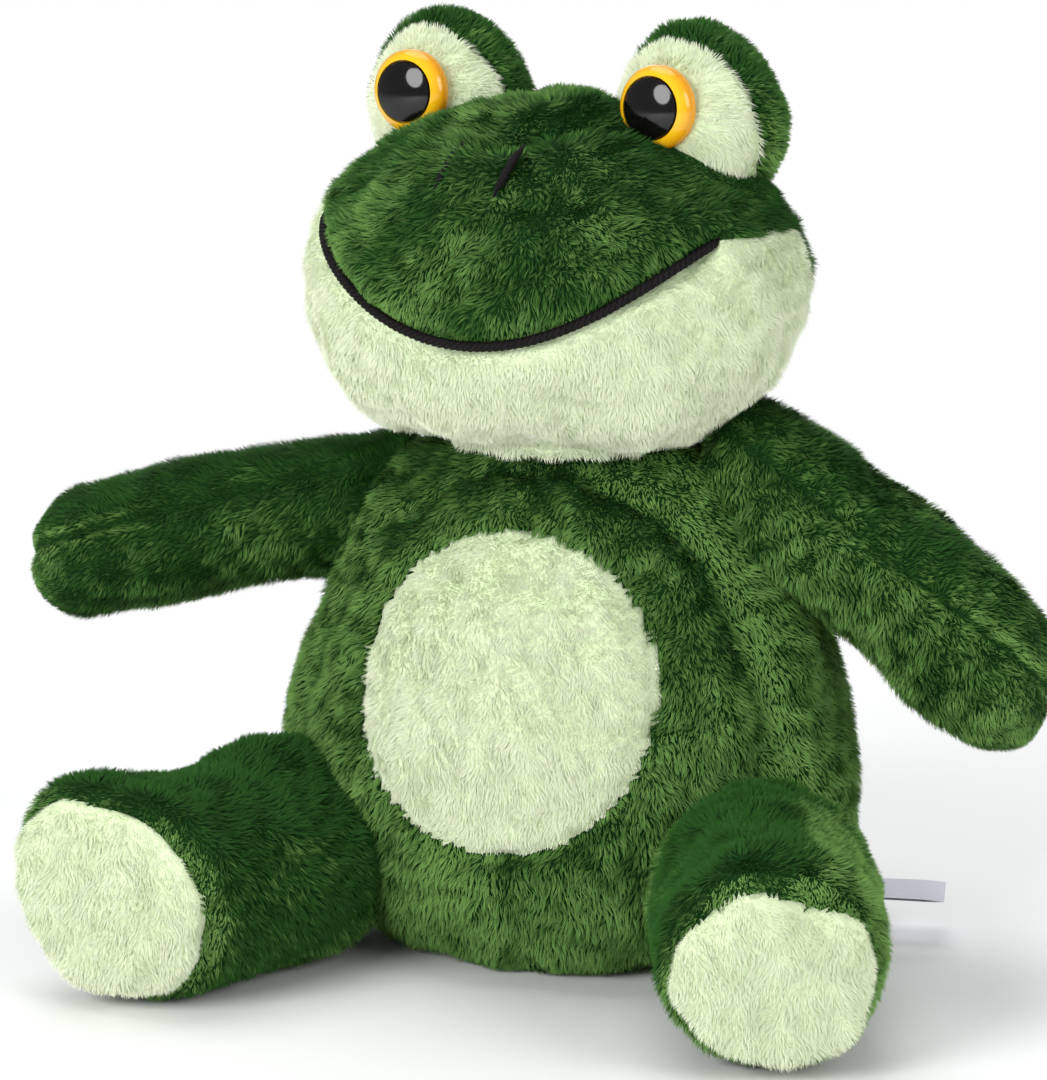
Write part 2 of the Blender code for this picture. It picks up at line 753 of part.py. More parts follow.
def pupil_profile():
    """Profile of the black pupil: a flat back and the front of the same dome."""
    lip_share = (PUPIL_RADIUS + FIT_GAP) / EYE_RADIUS
    floor = EYE_RIM + EYE_DOME * rounded(lip_share, 2) - PUPIL_DEPTH + FIT_GAP
    profile = [(floor, PUPIL_RADIUS)]
    for index in range(DOME_STEPS):
        radius = PUPIL_RADIUS * (1 - index / DOME_STEPS)
        profile.append((EYE_RIM + EYE_DOME * rounded(radius / EYE_RADIUS, 2), radius))
    return profile


def eye_guides(head, side, turn, name):
    """Empties of one eye mound, and the guides that its seat, socket and washer need."""
    middle = (MOUND_ASIDE + side * MOUND_SPACING / 2, -MOUND_FORWARD, MOUND_RISE)
    mound = pivot(name + "_mound", middle, (0, 0, math.radians(turn)), head)
    eye = pivot(name + "_eye_seat", (0, -eye_seat_plane() - FIT_GAP, EYE_LIFT), parent=mound)
    socket = cutter(name + "_socket", sink(mound_surface("socket", MOUND_SIDES), -FIT_GAP), mound)
    cut(socket, cutter(name + "_socket_floor", base_box("socket_floor", MOUND_BASE + FIT_GAP), mound))
    hole = SHANK_RADIUS + FIT_GAP
    rim = EYE_RADIUS + FIT_GAP
    seat_profile = ((-OVERRUN, hole), (-FIT_GAP, hole), (-FIT_GAP, rim), (OVERRUN, rim))
    seat = turned("seat", seat_profile, EYE_SIDES)
    behind = -(washer_front() + WASHER_THICKNESS + FIT_GAP)
    pocket = WASHER_RADIUS + FIT_GAP
    end = -SHANK_LENGTH - FIT_GAP
    room_profile = ((end, hole), (behind, hole), (behind, pocket), (OVERRUN, pocket))
    room = turned("room", room_profile, EYE_SIDES)
    return {
        "name": name,
        "mound": mound,
        "eye": eye,
        "base": cutter(name + "_mound_base", base_box("mound_base", MOUND_BASE), mound),
        "socket": socket,
        "seat": cutter(name + "_eye_seat_guide", seat, eye),
        "room": cutter(name + "_washer_room", room, eye),
    }


def base_box(name, depth):
    """A box that holds everything lower than a depth under an eye mound's middle."""
    reach = MOUND_HALF_HEIGHT + OVERRUN
    return box_mesh(name, (-reach, -reach, -reach), (reach, reach, -depth))


def make_eye(materials, guides):
    """One eye mound: hood, pale patch and stuffing, then the safety eye and its washer."""
    name = guides["name"]
    mound = guides["mound"]
    eye = guides["eye"]
    reach = MOUND_HALF_HEIGHT + OVERRUN
    seam = -HOOD_EDGE
    body = cutter(name + "_mound_shell", mound_surface("mound_shell", MOUND_SIDES), mound)
    core_mesh = sink(mound_surface("eye_stuffing", MOUND_SIDES // 2), SKIN + FIT_GAP)
    core = place(name + "_eye_stuffing", core_mesh, materials["fibre"], mound)
    thicken(body)
    cut(body, guides["base"])
    cut(core, guides["base"])
    cut(core, guides["room"])
    shell = settled_mesh(body)
    behind = box_mesh("hood_region", (-reach, seam + SEAM_GAP / 2, -reach), (reach, reach, reach))
    before = box_mesh("patch_region", (-reach, -reach, -reach), (reach, seam - SEAM_GAP / 2, reach))
    hood = place(name + "_eye_hood", shell.copy(), materials["dark"], mound)
    cut(hood, cutter(name + "_hood_region", behind, mound), 'INTERSECT')
    patch = place(name + "_eye_patch", shell.copy(), materials["pale"], mound)
    cut(patch, cutter(name + "_eye_patch_region", before, mound), 'INTERSECT')
    cut(patch, guides["seat"])
    place(name + "_iris", turned("iris", iris_profile(), EYE_SIDES), materials["amber"], eye)
    place(name + "_pupil", turned("pupil", pupil_profile(), EYE_SIDES), materials["black"], eye)
    bore = SHANK_RADIUS + FIT_GAP
    front = -washer_front()
    back = front - WASHER_THICKNESS
    washer = ((back, bore), (back, WASHER_RADIUS), (front, WASHER_RADIUS), (front, bore))
    place(name + "_eye_washer", turned("washer", washer, EYE_SIDES, joined=True), materials["washer"], eye)


def make_arm(materials, empty, bend, name):
    """Fur skin and stuffing of one arm."""
    skin = place(name + "_arm_skin", arm_surface(name + "_arm_skin", ARM_SIDES, bend, False),
                 materials["dark"], empty)
    thicken(skin)
    core = sink(arm_surface(name + "_arm_stuffing", ARM_SIDES // 2, bend, True), SKIN + FIT_GAP)
    place(name + "_arm_stuffing", core, materials["fibre"], empty)


def make_leg(materials, empty, floor, turn, name):
    """Fur skin, pale sole and stuffing of one leg, cut flat where it rests."""
    body = cutter(name + "_leg_shell", leg_surface(name + "_leg_shell", LEG_SIDES, turn, False), empty)
    thicken(body)
    cut(body, floor)
    shell = settled_mesh(body)
    reach = LEG_LENGTH + OVERRUN
    end = Matrix.Translation((LEG_LENGTH - SOLE_WRAP, 0, 0))
    turned_end = end @ Matrix.Rotation(math.radians(turn), 4, 'Z')
    to_seam = turned_end @ Matrix.Rotation(math.radians(SOLE_TILT), 4, 'Y')
    behind = box_mesh(name + "_leg_region", (-reach * 2, -reach, -reach), (0, reach, reach))
    before = box_mesh(name + "_sole_region", (SEAM_GAP, -reach, -reach), (reach, reach, reach))
    behind.transform(to_seam)
    before.transform(to_seam)
    skin = place(name + "_leg_skin", shell.copy(), materials["dark"], empty)
    cut(skin, cutter(name + "_leg_region", behind, empty), 'INTERSECT')
    sole = place(name + "_sole", shell.copy(), materials["pale"], empty)
    cut(sole, cutter(name + "_sole_region", before, empty), 'INTERSECT')
    core = sink(leg_surface(name + "_leg_stuffing", LEG_SIDES // 2, turn, True), SKIN + FIT_GAP)
    place(name + "_leg_stuffing", core, materials["fibre"], empty)


def build_frog():
    """The whole frog."""
    clear_scene()
    materials = make_materials()
    head_angles = (0, math.radians(HEAD_TILT), math.radians(HEAD_TURN))
    head = pivot("head_frame", (HEAD_ASIDE, 0, NECK_HEIGHT), head_angles)
    right_arm = arm_pivot(-1, "right_shoulder_joint", RIGHT_ARM_DROP, RIGHT_ARM_FORWARD)
    left_arm = arm_pivot(1, "left_shoulder_joint", LEFT_ARM_DROP, LEFT_ARM_FORWARD)
    right_leg = leg_pivot(-1, "right_hip_joint", RIGHT_LEG_SPLAY)
    left_leg = leg_pivot(1, "left_hip_joint", LEFT_LEG_SPLAY)
    arms = [("right_arm", right_arm, SHOULDER_BALL, SHOULDER_DISH_SIDES),
            ("left_arm", left_arm, SHOULDER_BALL, SHOULDER_DISH_SIDES)]
    hips = [("right_leg", right_leg, HIP_BALL, HIP_DISH_SIDES),
            ("left_leg", left_leg, HIP_BALL, HIP_DISH_SIDES)]
    guides = torso_cutters(arms, hips)
    guides.append(arm_room("right_arm_room", -1, RIGHT_ARM_FORWARD, RIGHT_ARM_BEND))
    guides.append(arm_room("left_arm_room", 1, LEFT_ARM_FORWARD, LEFT_ARM_BEND))
    guides.append(leg_room("right_leg_room", -1, RIGHT_LEG_SPLAY, RIGHT_SOLE_TURN))
    guides.append(leg_room("left_leg_room", 1, LEFT_LEG_SPLAY, LEFT_SOLE_TURN))
    make_torso(materials, guides)
    eyes = [eye_guides(head, -1, RIGHT_MOUND_TURN, "right"), eye_guides(head, 1, LEFT_MOUND_TURN, "left")]
    make_head(materials, head, eyes)
    make_face(materials, head)
    for guides in eyes:
        make_eye(materials, guides)
    make_arm(materials, right_arm, RIGHT_ARM_BEND, "right")
    make_arm(materials, left_arm, LEFT_ARM_BEND, "left")
    reach = TORSO_HEIGHT + OVERRUN
    floor = cutter("floor_room", box_mesh("floor_room", (-reach, -reach, -OVERRUN), (reach, reach, 0.0)))
    make_leg(materials, right_leg, floor, RIGHT_SOLE_TURN, "right")
    make_leg(materials, left_leg, floor, LEFT_SOLE_TURN, "left")


build_frog()
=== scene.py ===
import json
import math

import bpy
import numpy as np
from mathutils import Matrix, Vector
from mathutils.kdtree import KDTree

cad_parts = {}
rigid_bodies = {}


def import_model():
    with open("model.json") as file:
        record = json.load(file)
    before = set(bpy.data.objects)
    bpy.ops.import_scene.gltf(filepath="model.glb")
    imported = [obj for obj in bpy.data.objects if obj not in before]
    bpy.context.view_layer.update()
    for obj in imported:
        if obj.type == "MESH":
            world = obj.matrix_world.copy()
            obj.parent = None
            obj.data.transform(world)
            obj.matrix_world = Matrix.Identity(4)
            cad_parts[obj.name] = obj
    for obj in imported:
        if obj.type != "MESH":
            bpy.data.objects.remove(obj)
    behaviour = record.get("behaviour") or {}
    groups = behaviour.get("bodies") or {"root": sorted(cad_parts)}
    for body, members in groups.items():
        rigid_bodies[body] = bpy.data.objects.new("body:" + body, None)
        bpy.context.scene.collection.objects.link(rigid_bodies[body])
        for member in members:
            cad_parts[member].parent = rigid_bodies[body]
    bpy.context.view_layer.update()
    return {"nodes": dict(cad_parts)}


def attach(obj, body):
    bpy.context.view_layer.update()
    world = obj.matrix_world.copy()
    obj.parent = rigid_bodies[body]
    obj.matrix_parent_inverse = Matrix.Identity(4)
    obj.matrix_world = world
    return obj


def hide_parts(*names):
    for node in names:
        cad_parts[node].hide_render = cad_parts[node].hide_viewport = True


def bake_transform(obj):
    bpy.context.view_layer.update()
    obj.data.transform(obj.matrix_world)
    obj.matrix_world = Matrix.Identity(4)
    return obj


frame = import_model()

MM = 0.001

# Camera, as fitted to the photograph
CAMERA_AZIMUTH = 19.03
CAMERA_DISTANCE = 834.43 * MM
CAMERA_HEIGHT = 245.89 * MM
CAMERA_PITCH = 10.38
FOCAL_PIXELS = 3821.7
FRAME_WIDTH = 1047
FRAME_HEIGHT = 1080
PRINCIPAL_POINT = (576.64, 528.18)
SENSOR = 36.0

# Cloth and pile
CLOTH_DEPTH = 1.3 * MM
CLOTH_THICKNESS = 0.9 * MM
FILLING_DEPTH = 7.0 * MM
FLOOR_CLEARANCE = 0.3 * MM
DARK_PILE = 2.1 * MM
PALE_PILE = 1.8 * MM
DARK_WIDTH = 0.24 * MM
BACK_WIDTH = 0.29 * MM
PALE_WIDTH = 0.26 * MM
DARK_DENSITY = 6.5
BACK_DENSITY = 4.8
PALE_DENSITY = 6.0
COVERED_DEPTH = 3.0 * MM
COVERED_BY_HEAD = 2.0 * MM
ARM_COVERED_BY_HEAD = 1.0 * MM
TORSO_FUR_START = 0.8 * MM
LEG_FUR_START = 0.6 * MM

# Rows and sides of each form, and how uneven the filling makes its cloth
TORSO_GRID = (96, 150)
TORSO_LUMPS = 0.6 * MM
HEAD_GRID = (100, 160)
HEAD_LUMPS = 0.7 * MM
MOUND_GRID = (60, 90)
MOUND_LUMPS = 0.3 * MM
ARM_GRID = (56, 72)
LEG_GRID = (48, 96)
LIMB_LUMPS = 0.5 * MM
TIP_ROWS = 12

# Seams: how deep and how wide each one draws the cloth in
SIDE_SEAM = (1.8 * MM, 2.6 * MM)
FRONT_SEAM = (1.3 * MM, 2.2 * MM)
PATCH_SEAM = (1.5 * MM, 2.2 * MM)
MOUTH_SEAM = (2.2 * MM, 3.0 * MM)
HOOD_SEAM = (1.3 * MM, 1.8 * MM)
LIMB_SEAM = (1.4 * MM, 2.0 * MM)

# Painted light and shade: how much lighter the fur of a place is painted than usual where it is lit, or
# darker below 0 where it lies in shade
TORSO_PAINTED_LIGHT = 0.10
TORSO_TOP_PAINTED_LIGHT = 0.16
TORSO_RIGHT_PAINTED_LIGHT = 0.10
BACK_PAINTED_LIGHT = 0.36
BACK_LEFT_PAINTED_LIGHT = 0.45
HEAD_PAINTED_LIGHT = 0.03
HEAD_RIGHT_PAINTED_LIGHT = 0.12
HOOD_PAINTED_LIGHT = 0.14
CHIN_PAINTED_LIGHT = -0.10
RIGHT_ARM_PAINTED_LIGHT = -0.14
LEFT_ARM_PAINTED_LIGHT = 0.12
LEG_PAINTED_LIGHT = -0.46
LEG_RIM_PAINTED_LIGHT = 1.05
LEFT_LEG_OUTER_PAINTED_LIGHT = 1.0
SOLE_PAINTED_LIGHT = -0.12

# Torso
TORSO_HEIGHT = 124.0 * MM
TORSO_HALF_WIDTH = 64.0 * MM
BELLY_DEPTH = 50.0 * MM
BACK_DEPTH = 44.0 * MM
SIDE_SEAM_FORWARD = 25.0 * MM
TORSO_SHARES = (
    (0.000, 0.690, 0.660, 0.700),
    (0.048, 0.830, 0.800, 0.840),
    (0.121, 0.927, 0.920, 0.932),
    (0.242, 0.990, 0.990, 1.000),
    (0.371, 1.000, 1.000, 1.000),
    (0.500, 0.975, 0.970, 0.977),
    (0.597, 0.925, 0.900, 0.932),
    (0.677, 0.865, 0.830, 0.886),
    (0.750, 0.800, 0.750, 0.830),
    (0.815, 0.705, 0.680, 0.773),
    (0.863, 0.562, 0.612, 0.695),
)
PATCH_RADIUS = 34.0 * MM
PATCH_HEIGHT = 64.0 * MM
PATCH_ASIDE = -2.5 * MM
NECK = np.array((0.0, 0.0, 88.0)) * MM
NECK_RADIUS = 36.0 * MM
NECK_RING = 49.0
NECK_GAP = 1.2 * MM
NECK_BARE = 0.8 * MM
BELLY_RISE = 1.2 * MM

# Head, in its own frame about the neck
HEAD_ORIGIN = np.array((-5.0, 0.0, 88.0)) * MM
HEAD_TURN = -4.0
HEAD_TILT = 2.0
HEAD_HALF_WIDTH = 55.5 * MM
HEAD_HALF_HEIGHT = 39.5 * MM
MUZZLE_DEPTH = 47.0 * MM
NAPE_DEPTH = 44.0 * MM
HEAD_RISE = 63.0 * MM
HEAD_FORWARD = 8.0 * MM
JAW_SQUARENESS = 2.5
MOUTH_DROP = 11.3 * MM
MOUTH_HALF_WIDTH = 47.5 * MM
SMILE_RISE = 24.5 * MM
CHEEK_BACK = 4.0 * MM
CHEEK_SHIFT = 6.0 * MM
LIP_RISE = 1.2 * MM
LIP_HEIGHT = 7.0 * MM
LIP_WIDTH = 6.0 * MM
THREAD_PLIES = 3
PLY_SIDES = 8
CORD_RADIUS = 1.1 * MM
CORD_PITCH = 4.2 * MM
CORD_TAPER = 5.0 * MM
CORD_SINK = 0.9 * MM
NOSTRIL_SPACING = 14.5 * MM
NOSTRIL_ASIDE = -2.0 * MM
NOSTRIL_RISE = 25.0 * MM
NOSTRIL_LENGTH = 10.0 * MM
NOSTRIL_LEAN = 0.2
NOSTRIL_RADIUS = 1.0 * MM
NOSTRIL_PITCH = 2.4 * MM
NOSTRIL_TAPER = 4.0 * MM
NOSTRIL_STAND_OFF = 0.4 * MM

# Eye mounds and eyes
MOUND_SPACING = 58.5 * MM
MOUND_ASIDE = 1.7 * MM
MOUND_RISE = 98.0 * MM
MOUND_FORWARD = 1.5 * MM
MOUND_SIZE = np.array((19.5, 17.0, 22.0)) * MM
RIGHT_MOUND_TURN = -8.0
LEFT_MOUND_TURN = -12.0
HOOD_EDGE = 3.5 * MM
HOOD_LEAN = 0.25
HOOD_WRAP = 4.0 * MM
EYE_RADIUS = 9.0 * MM
EYE_RIM = 1.4 * MM
EYE_DOME = 4.2 * MM
EYE_LIFT = 3.0 * MM
EYE_SEAT = 2.1 * MM
EYE_GAP = 0.35 * MM
EYE_DENT = 1.5 * MM
EYE_DENT_RADIUS = 7.0 * MM
PUPIL_RADIUS = 6.5 * MM
PUPIL_DEPTH = 1.6 * MM
SHANK_RADIUS = 2.5 * MM
SHANK_LENGTH = 9.0 * MM
EYE_SIDES = 72

# Arms and legs
RIGHT_SHOULDER = np.array((-52.0, 0.0, 97.0)) * MM
LEFT_SHOULDER = np.array((46.0, 0.0, 103.0)) * MM
ARM_LENGTH = 77.0 * MM
ARM_RADIUS = 16.3 * MM
ARM_SHARES = ((-0.20, 0.90), (0.00, 1.08), (0.20, 1.02), (0.45, 0.985), (0.68, 1.000), (0.82, 0.960))
RIGHT_ARM_DROP = 9.5
RIGHT_ARM_FORWARD = 15.0
RIGHT_ARM_BEND = 5.0 * MM
LEFT_ARM_DROP = 29.5
LEFT_ARM_FORWARD = 4.0
LEFT_ARM_BEND = 8.0 * MM
ARM_SEAM = math.radians(22.0)
ARM_SEAM_DRIFT = 6.0 * MM
ARM_SEWN = (-8.0 * MM, 14.0 * MM)
LEG_SEWN = (-10.0 * MM, 14.0 * MM)
HIP = np.array((53.5, -34.5, 24.0)) * MM
LEG_LENGTH = 56.0 * MM
LEG_RADIUS = 24.5 * MM
LEG_SHARES = ((-0.35, 0.80), (0.00, 1.00), (0.25, 1.00), (0.50, 0.99), (0.70, 0.985), (0.86, 1.000),
              (1.00, 0.880))
SOLE_BULGE = 5.5 * MM
SOLE_WRAP = 2.0 * MM
SOLE_TILT = math.tan(math.radians(7.0))
RIGHT_LEG_SPLAY = 21.5
LEFT_LEG_SPLAY = 19.5
RIGHT_SOLE_TURN = 16.0
LEFT_SOLE_TRIM = 0.13

# Where the filling makes the cloth fuller or slacker: centre, reach and rise in millimetres
TORSO_SWELLS = (((-62, -5, 45), 22, 4.6), ((-36, -4, 107), 12, 6.0), ((33, -3, 112), 12, 9.0),
                ((-36, -46, 42), 14, 2.5), ((64, 0, 65), 16, -2.2), ((63, 6, 40), 14, 2.4))
HEAD_SWELLS = (((54, -8, 68), 22, 3.2), ((-50, -24, 78), 18, -2.0), ((-44, -18, 40), 20, 2.0),
               ((0, -32, 28), 26, -2.8), ((0, -10, 103), 14, 1.2), ((38, -26, 90), 12, -2.2))
RIGHT_MOUND_SWELLS = (((-18, 0, 10), 14, -0.6), ((13, 0, 15), 12, -2.2), ((17, 0, -8), 12, 1.2))
LEFT_MOUND_SWELLS = (((-15, 0, 14), 12, -0.8), ((12, 0, 17), 11, -1.8), ((18, 0, -4), 12, 0.8))
RIGHT_ARM_SWELLS = (((-92, -12, 110), 24, 0.6), ((-56, 0, 114), 16, -3.0), ((-124, -24, 66), 12, -1.5),
                    ((-127, -28, 86), 12, 2.4))
LEFT_ARM_SWELLS = (((84, -4, 104), 26, 2.2), ((40, -6, 120), 11, 3.0), ((86, -4, 64), 18, 2.0),
                   ((116, -6, 58), 12, -3.8))
RIGHT_LEG_SWELLS = (((-93, -78, 46), 18, 7.0), ((-66, -62, 50), 16, -2.0), ((-58, -36, 52), 13, 3.0),
                    ((-42, -46, 46), 11, -3.5))
LEFT_LEG_SWELLS = (((84, -70, 30), 16, -1.2), ((79, -43, 40), 14, -1.8))

# Label and pouch
LABEL_SIZE = np.array((37.0, 15.0, 0.7)) * MM
LABEL_PLACE = np.array((44.0, 8.0, 9.5)) * MM
LABEL_TURN = 12.0
POUCH_SIZE = np.array((29.0, 21.0, 13.0)) * MM

# Softboxes: place and size in metres, and the level that each gives at its reach
LIGHTS = (
    ("key", (-0.46, -1.08, 0.56), 0.64, 0.66, 1.26),
    ("side", (1.05, -0.45, 0.55), 0.70, 0.36, 1.22),
    ("top", (-0.25, 0.15, 1.45), 1.20, 0.42, 1.40),
    ("back", (-0.30, 1.30, 0.70), 1.00, 0.35, 1.45),
)
LIGHT_TARGET = (0.0, 0.0, 0.1)
WHITE = (1.0, 1.0, 1.0, 1.0)
WORLD_COLOUR = (0.96, 0.98, 1.0, 1.0)
WORLD_LEVEL = 0.34
FLOOR_HALF_SIZE = 4.0
WHITE_FLOOR_START = 0.16
WHITE_FLOOR_RATE = 5.0


# ---- shader building ----

class Value:
    """A number that varies over a surface: a socket that takes Python's operators."""

    def __init__(self, graph, socket):
        self.graph = graph
        self.socket = socket

    def maths(self, operation, *terms):
        return self.graph.value('ShaderNodeMath', {"operation": operation}, list(enumerate(terms)))

    def __add__(self, other):
        return self.maths('ADD', self, other)

    __radd__ = __add__

    def __sub__(self, other):
        return self.maths('SUBTRACT', self, other)

    def __rsub__(self, other):
        return self.maths('SUBTRACT', other, self)

    def __mul__(self, other):
        return self.maths('MULTIPLY', self, other)

    __rmul__ = __mul__

    def __pow__(self, other):
        return self.maths('POWER', self, other)

    def clamped(self):
        return self.maths('MINIMUM', self.maths('MAXIMUM', self, 0.0), 1.0)


class Graph:
    """A node tree under construction. One method makes all its nodes."""

    def __init__(self, tree):
        self.tree = tree

    def node(self, kind, settings, inputs):
        made = self.tree.nodes.new(kind)
        for title, value in settings.items():
            setattr(made, title, value)
        for title, value in inputs:
            self.feed(made.inputs[title], value)
        return made

    def feed(self, socket, value):
        if isinstance(value, Value):
            value = value.socket
        if isinstance(value, bpy.types.NodeSocket):
            self.tree.links.new(value, socket)
        else:
            socket.default_value = value

    def value(self, kind, settings, inputs, output=0):
        return Value(self, self.node(kind, settings, inputs).outputs[output])


class Finish(Graph):
    """One material under construction around a Principled shader."""

    def __init__(self, name, **constants):
        self.material = bpy.data.materials.new(name)
        self.material.use_nodes = True
        super().__init__(self.material.node_tree)
        self.shader = self.tree.nodes["Principled BSDF"]
        for title, value in constants.items():
            self.shader.inputs[title.replace("_", " ")].default_value = value

    def place(self):
        return self.node('ShaderNodeTexCoord', {}, []).outputs["Object"]

    def noise(self, scale, detail=3.0, roughness=0.55, distortion=0.0):
        inputs = [("Vector", self.place()), ("Scale", scale), ("Detail", detail),
                  ("Roughness", roughness), ("Distortion", distortion)]
        return self.value('ShaderNodeTexNoise', {}, inputs)

    def attribute(self, title):
        return self.value('ShaderNodeAttribute', {"attribute_name": title}, [], "Fac")

    def mix(self, factor, low, high):
        inputs = [(0, factor), (6, low), (7, high)]
        return self.node('ShaderNodeMix', {"data_type": 'RGBA'}, inputs).outputs[2]

    def bump(self, height, strength, distance):
        inputs = [("Height", height), ("Strength", strength), ("Distance", distance)]
        made = self.node('ShaderNodeBump', {}, inputs)
        self.feed(self.shader.inputs["Normal"], made.outputs["Normal"])

    def colour(self, value):
        self.feed(self.shader.inputs["Base Color"], value)

    def roughness(self, value):
        self.feed(self.shader.inputs["Roughness"], value)


def rgb(red, green, blue):
    """A colour of the photograph, from screen values to Blender's linear ones."""
    linear = [((c / 255 + 0.055) / 1.055) ** 2.4 for c in (red, green, blue)]
    return (*linear, 1.0)


def pile_finish(name, root, middle, tip, sheen):
    """Fur fibres: painted shade at the root, painted light at the tip, in soft patches of painted light and
    shade as the pile lies.
    """
    finish = Finish(name, Roughness=0.8, Specular_IOR_Level=0.2,
                    Sheen_Weight=sheen, Sheen_Roughness=0.5, Sheen_Tint=tip)
    along = finish.attribute("along")
    shade = finish.attribute("shade")
    lint = finish.noise(520.0, 2.0) - 0.5
    lower = finish.mix((along * 2.2).clamped(), root, middle)
    light = (along * 0.62 + (shade - 0.5) * 1.4 + lint * 0.25).clamped()
    finish.colour(finish.mix(light, lower, tip))
    return finish.material


def cloth_finish(name, low, high):
    """The backing of the fur with its fine short fibres."""
    finish = Finish(name, Roughness=0.95, Specular_IOR_Level=0.1)
    fibres = finish.noise(1400.0, 2.0)
    patches = finish.noise(60.0, 3.0)
    finish.colour(finish.mix((fibres * 0.6 + patches * 0.5 - 0.05).clamped(), low, high))
    finish.bump(fibres, 0.5, 0.4 * MM)
    return finish.material


def thread_finish(name, low, high):
    """Embroidery thread with a faint twist and lint."""
    finish = Finish(name, Specular_IOR_Level=0.15)
    fibres = finish.noise(2600.0, 3.0, 0.6, 0.6)
    finish.colour(finish.mix((fibres * 1.5 - 0.45).clamped(), low, high))
    finish.roughness(fibres * 0.3 + 0.5)
    finish.bump(fibres, 0.6, 0.15 * MM)
    return finish.material


def amber_finish():
    """Amber plastic, deeper toward its rim, with faint radial streaks of the moulding."""
    finish = Finish("amber_eye_plastic", Coat_Weight=0.15, Coat_Roughness=0.04)
    depth = finish.attribute("radial")
    streaks = finish.noise(900.0, 2.0, 0.5, 1.5)
    face = finish.mix((streaks * 0.6 - 0.1).clamped(), rgb(255, 204, 30), rgb(250, 186, 16))
    finish.colour(finish.mix((depth ** 7.0 * 0.7).clamped(), face, rgb(228, 134, 8)))
    finish.roughness(streaks * 0.08 + 0.11)
    return finish.material


def pupil_finish():
    """Black glossy plastic with the faintest brown."""
    finish = Finish("black_eye_plastic", Specular_IOR_Level=0.42)
    haze = finish.noise(700.0, 2.0)
    finish.colour(finish.mix(haze, rgb(6, 5, 6), rgb(16, 13, 13)))
    finish.roughness(haze * 0.05 + 0.05)
    return finish.material


def filling_finish():
    """White fibre filling with soft lumps."""
    finish = Finish("fibre_filling", Roughness=1.0, Sheen_Weight=0.3)
    lumps = finish.noise(220.0, 5.0, 0.7, 0.8)
    finish.colour(finish.mix(lumps, rgb(222, 221, 216), rgb(250, 250, 248)))
    finish.bump(lumps, 0.7, 1.0 * MM)
    return finish.material


def weave_finish(name, low, high, pitch):
    """Plain woven cloth: crossing yarns of one pitch."""
    finish = Finish(name, Roughness=0.75, Specular_IOR_Level=0.3, Sheen_Weight=0.1)
    ribs = []
    for direction in ('X', 'Y'):
        inputs = [("Vector", finish.place()), ("Scale", 1.0 / pitch), ("Distortion", 0.4)]
        settings = {"wave_type": 'BANDS', "bands_direction": direction, "wave_profile": 'SIN'}
        ribs.append(finish.value('ShaderNodeTexWave', settings, inputs, 1))
    yarns = (ribs[0] + ribs[1]) * 0.5
    soil = finish.noise(90.0, 3.0)
    finish.colour(finish.mix((yarns * 0.5 + soil * 0.5).clamped(), low, high))
    finish.bump(yarns, 0.35, 0.1 * MM)
    return finish.material


def washer_finish():
    """White moulded plastic of the eye washers."""
    finish = Finish("white_washer_plastic")
    haze = finish.noise(500.0, 2.0)
    finish.colour(finish.mix(haze, rgb(226, 226, 220), rgb(240, 240, 236)))
    finish.roughness(haze * 0.2 + 0.35)
    return finish.material


# ---- surfaces ----

def read_shares(table, place):
    """A smooth cubic through the rows of a table of shares."""
    last = len(table) - 1
    index = 0
    while index < last - 1 and place > table[index + 1][0]:
        index += 1
    rows = [np.array(table[min(max(index + step, 0), last)]) for step in (-1, 0, 1, 2)]
    before, low, high, after = rows
    span = high[0] - low[0]
    step = (place - low[0]) / span
    slope_low = span * (high - before) / (high[0] - before[0])
    slope_high = span * (after - low) / (after[0] - low[0])
    rise = high - low
    bend = 3 * rise - 2 * slope_low - slope_high
    twist = slope_low + slope_high - 2 * rise
    return (low + slope_low * step + bend * step ** 2 + twist * step ** 3)[1:]


def rounded(share, squareness):
    """Height of a unit superellipse at a share of its half width."""
    return np.maximum(1 - np.abs(share) ** squareness, 0) ** (1 / squareness)


def waves(points, wavelength, seed, count=12):
    """A smooth random field with about unit spread."""
    random = np.random.default_rng(seed)
    directions = random.normal(size=(count, 3))
    directions /= np.linalg.norm(directions, axis=1)[:, None]
    scale = 2 * np.pi / wavelength * random.uniform(0.65, 1.45, count)
    phase = random.uniform(0, 2 * np.pi, count)
    return np.sin(points @ (directions * scale[:, None]).T + phase).sum(1) / math.sqrt(count / 2)


def unit(vectors):
    return vectors / np.maximum(np.linalg.norm(vectors, axis=-1, keepdims=True), 1e-12)


def circle(sides):
    """The cosines and sines of even steps around a circle."""
    angle = 2 * np.pi * np.arange(sides) / sides
    return np.cos(angle), np.sin(angle)


def turn_matrix(turn, tilt):
    """Turn about Z after a tilt about Y, in degrees."""
    turning = Matrix.Rotation(math.radians(turn), 3, 'Z')
    return np.array(turning @ Matrix.Rotation(math.radians(tilt), 3, 'Y'))


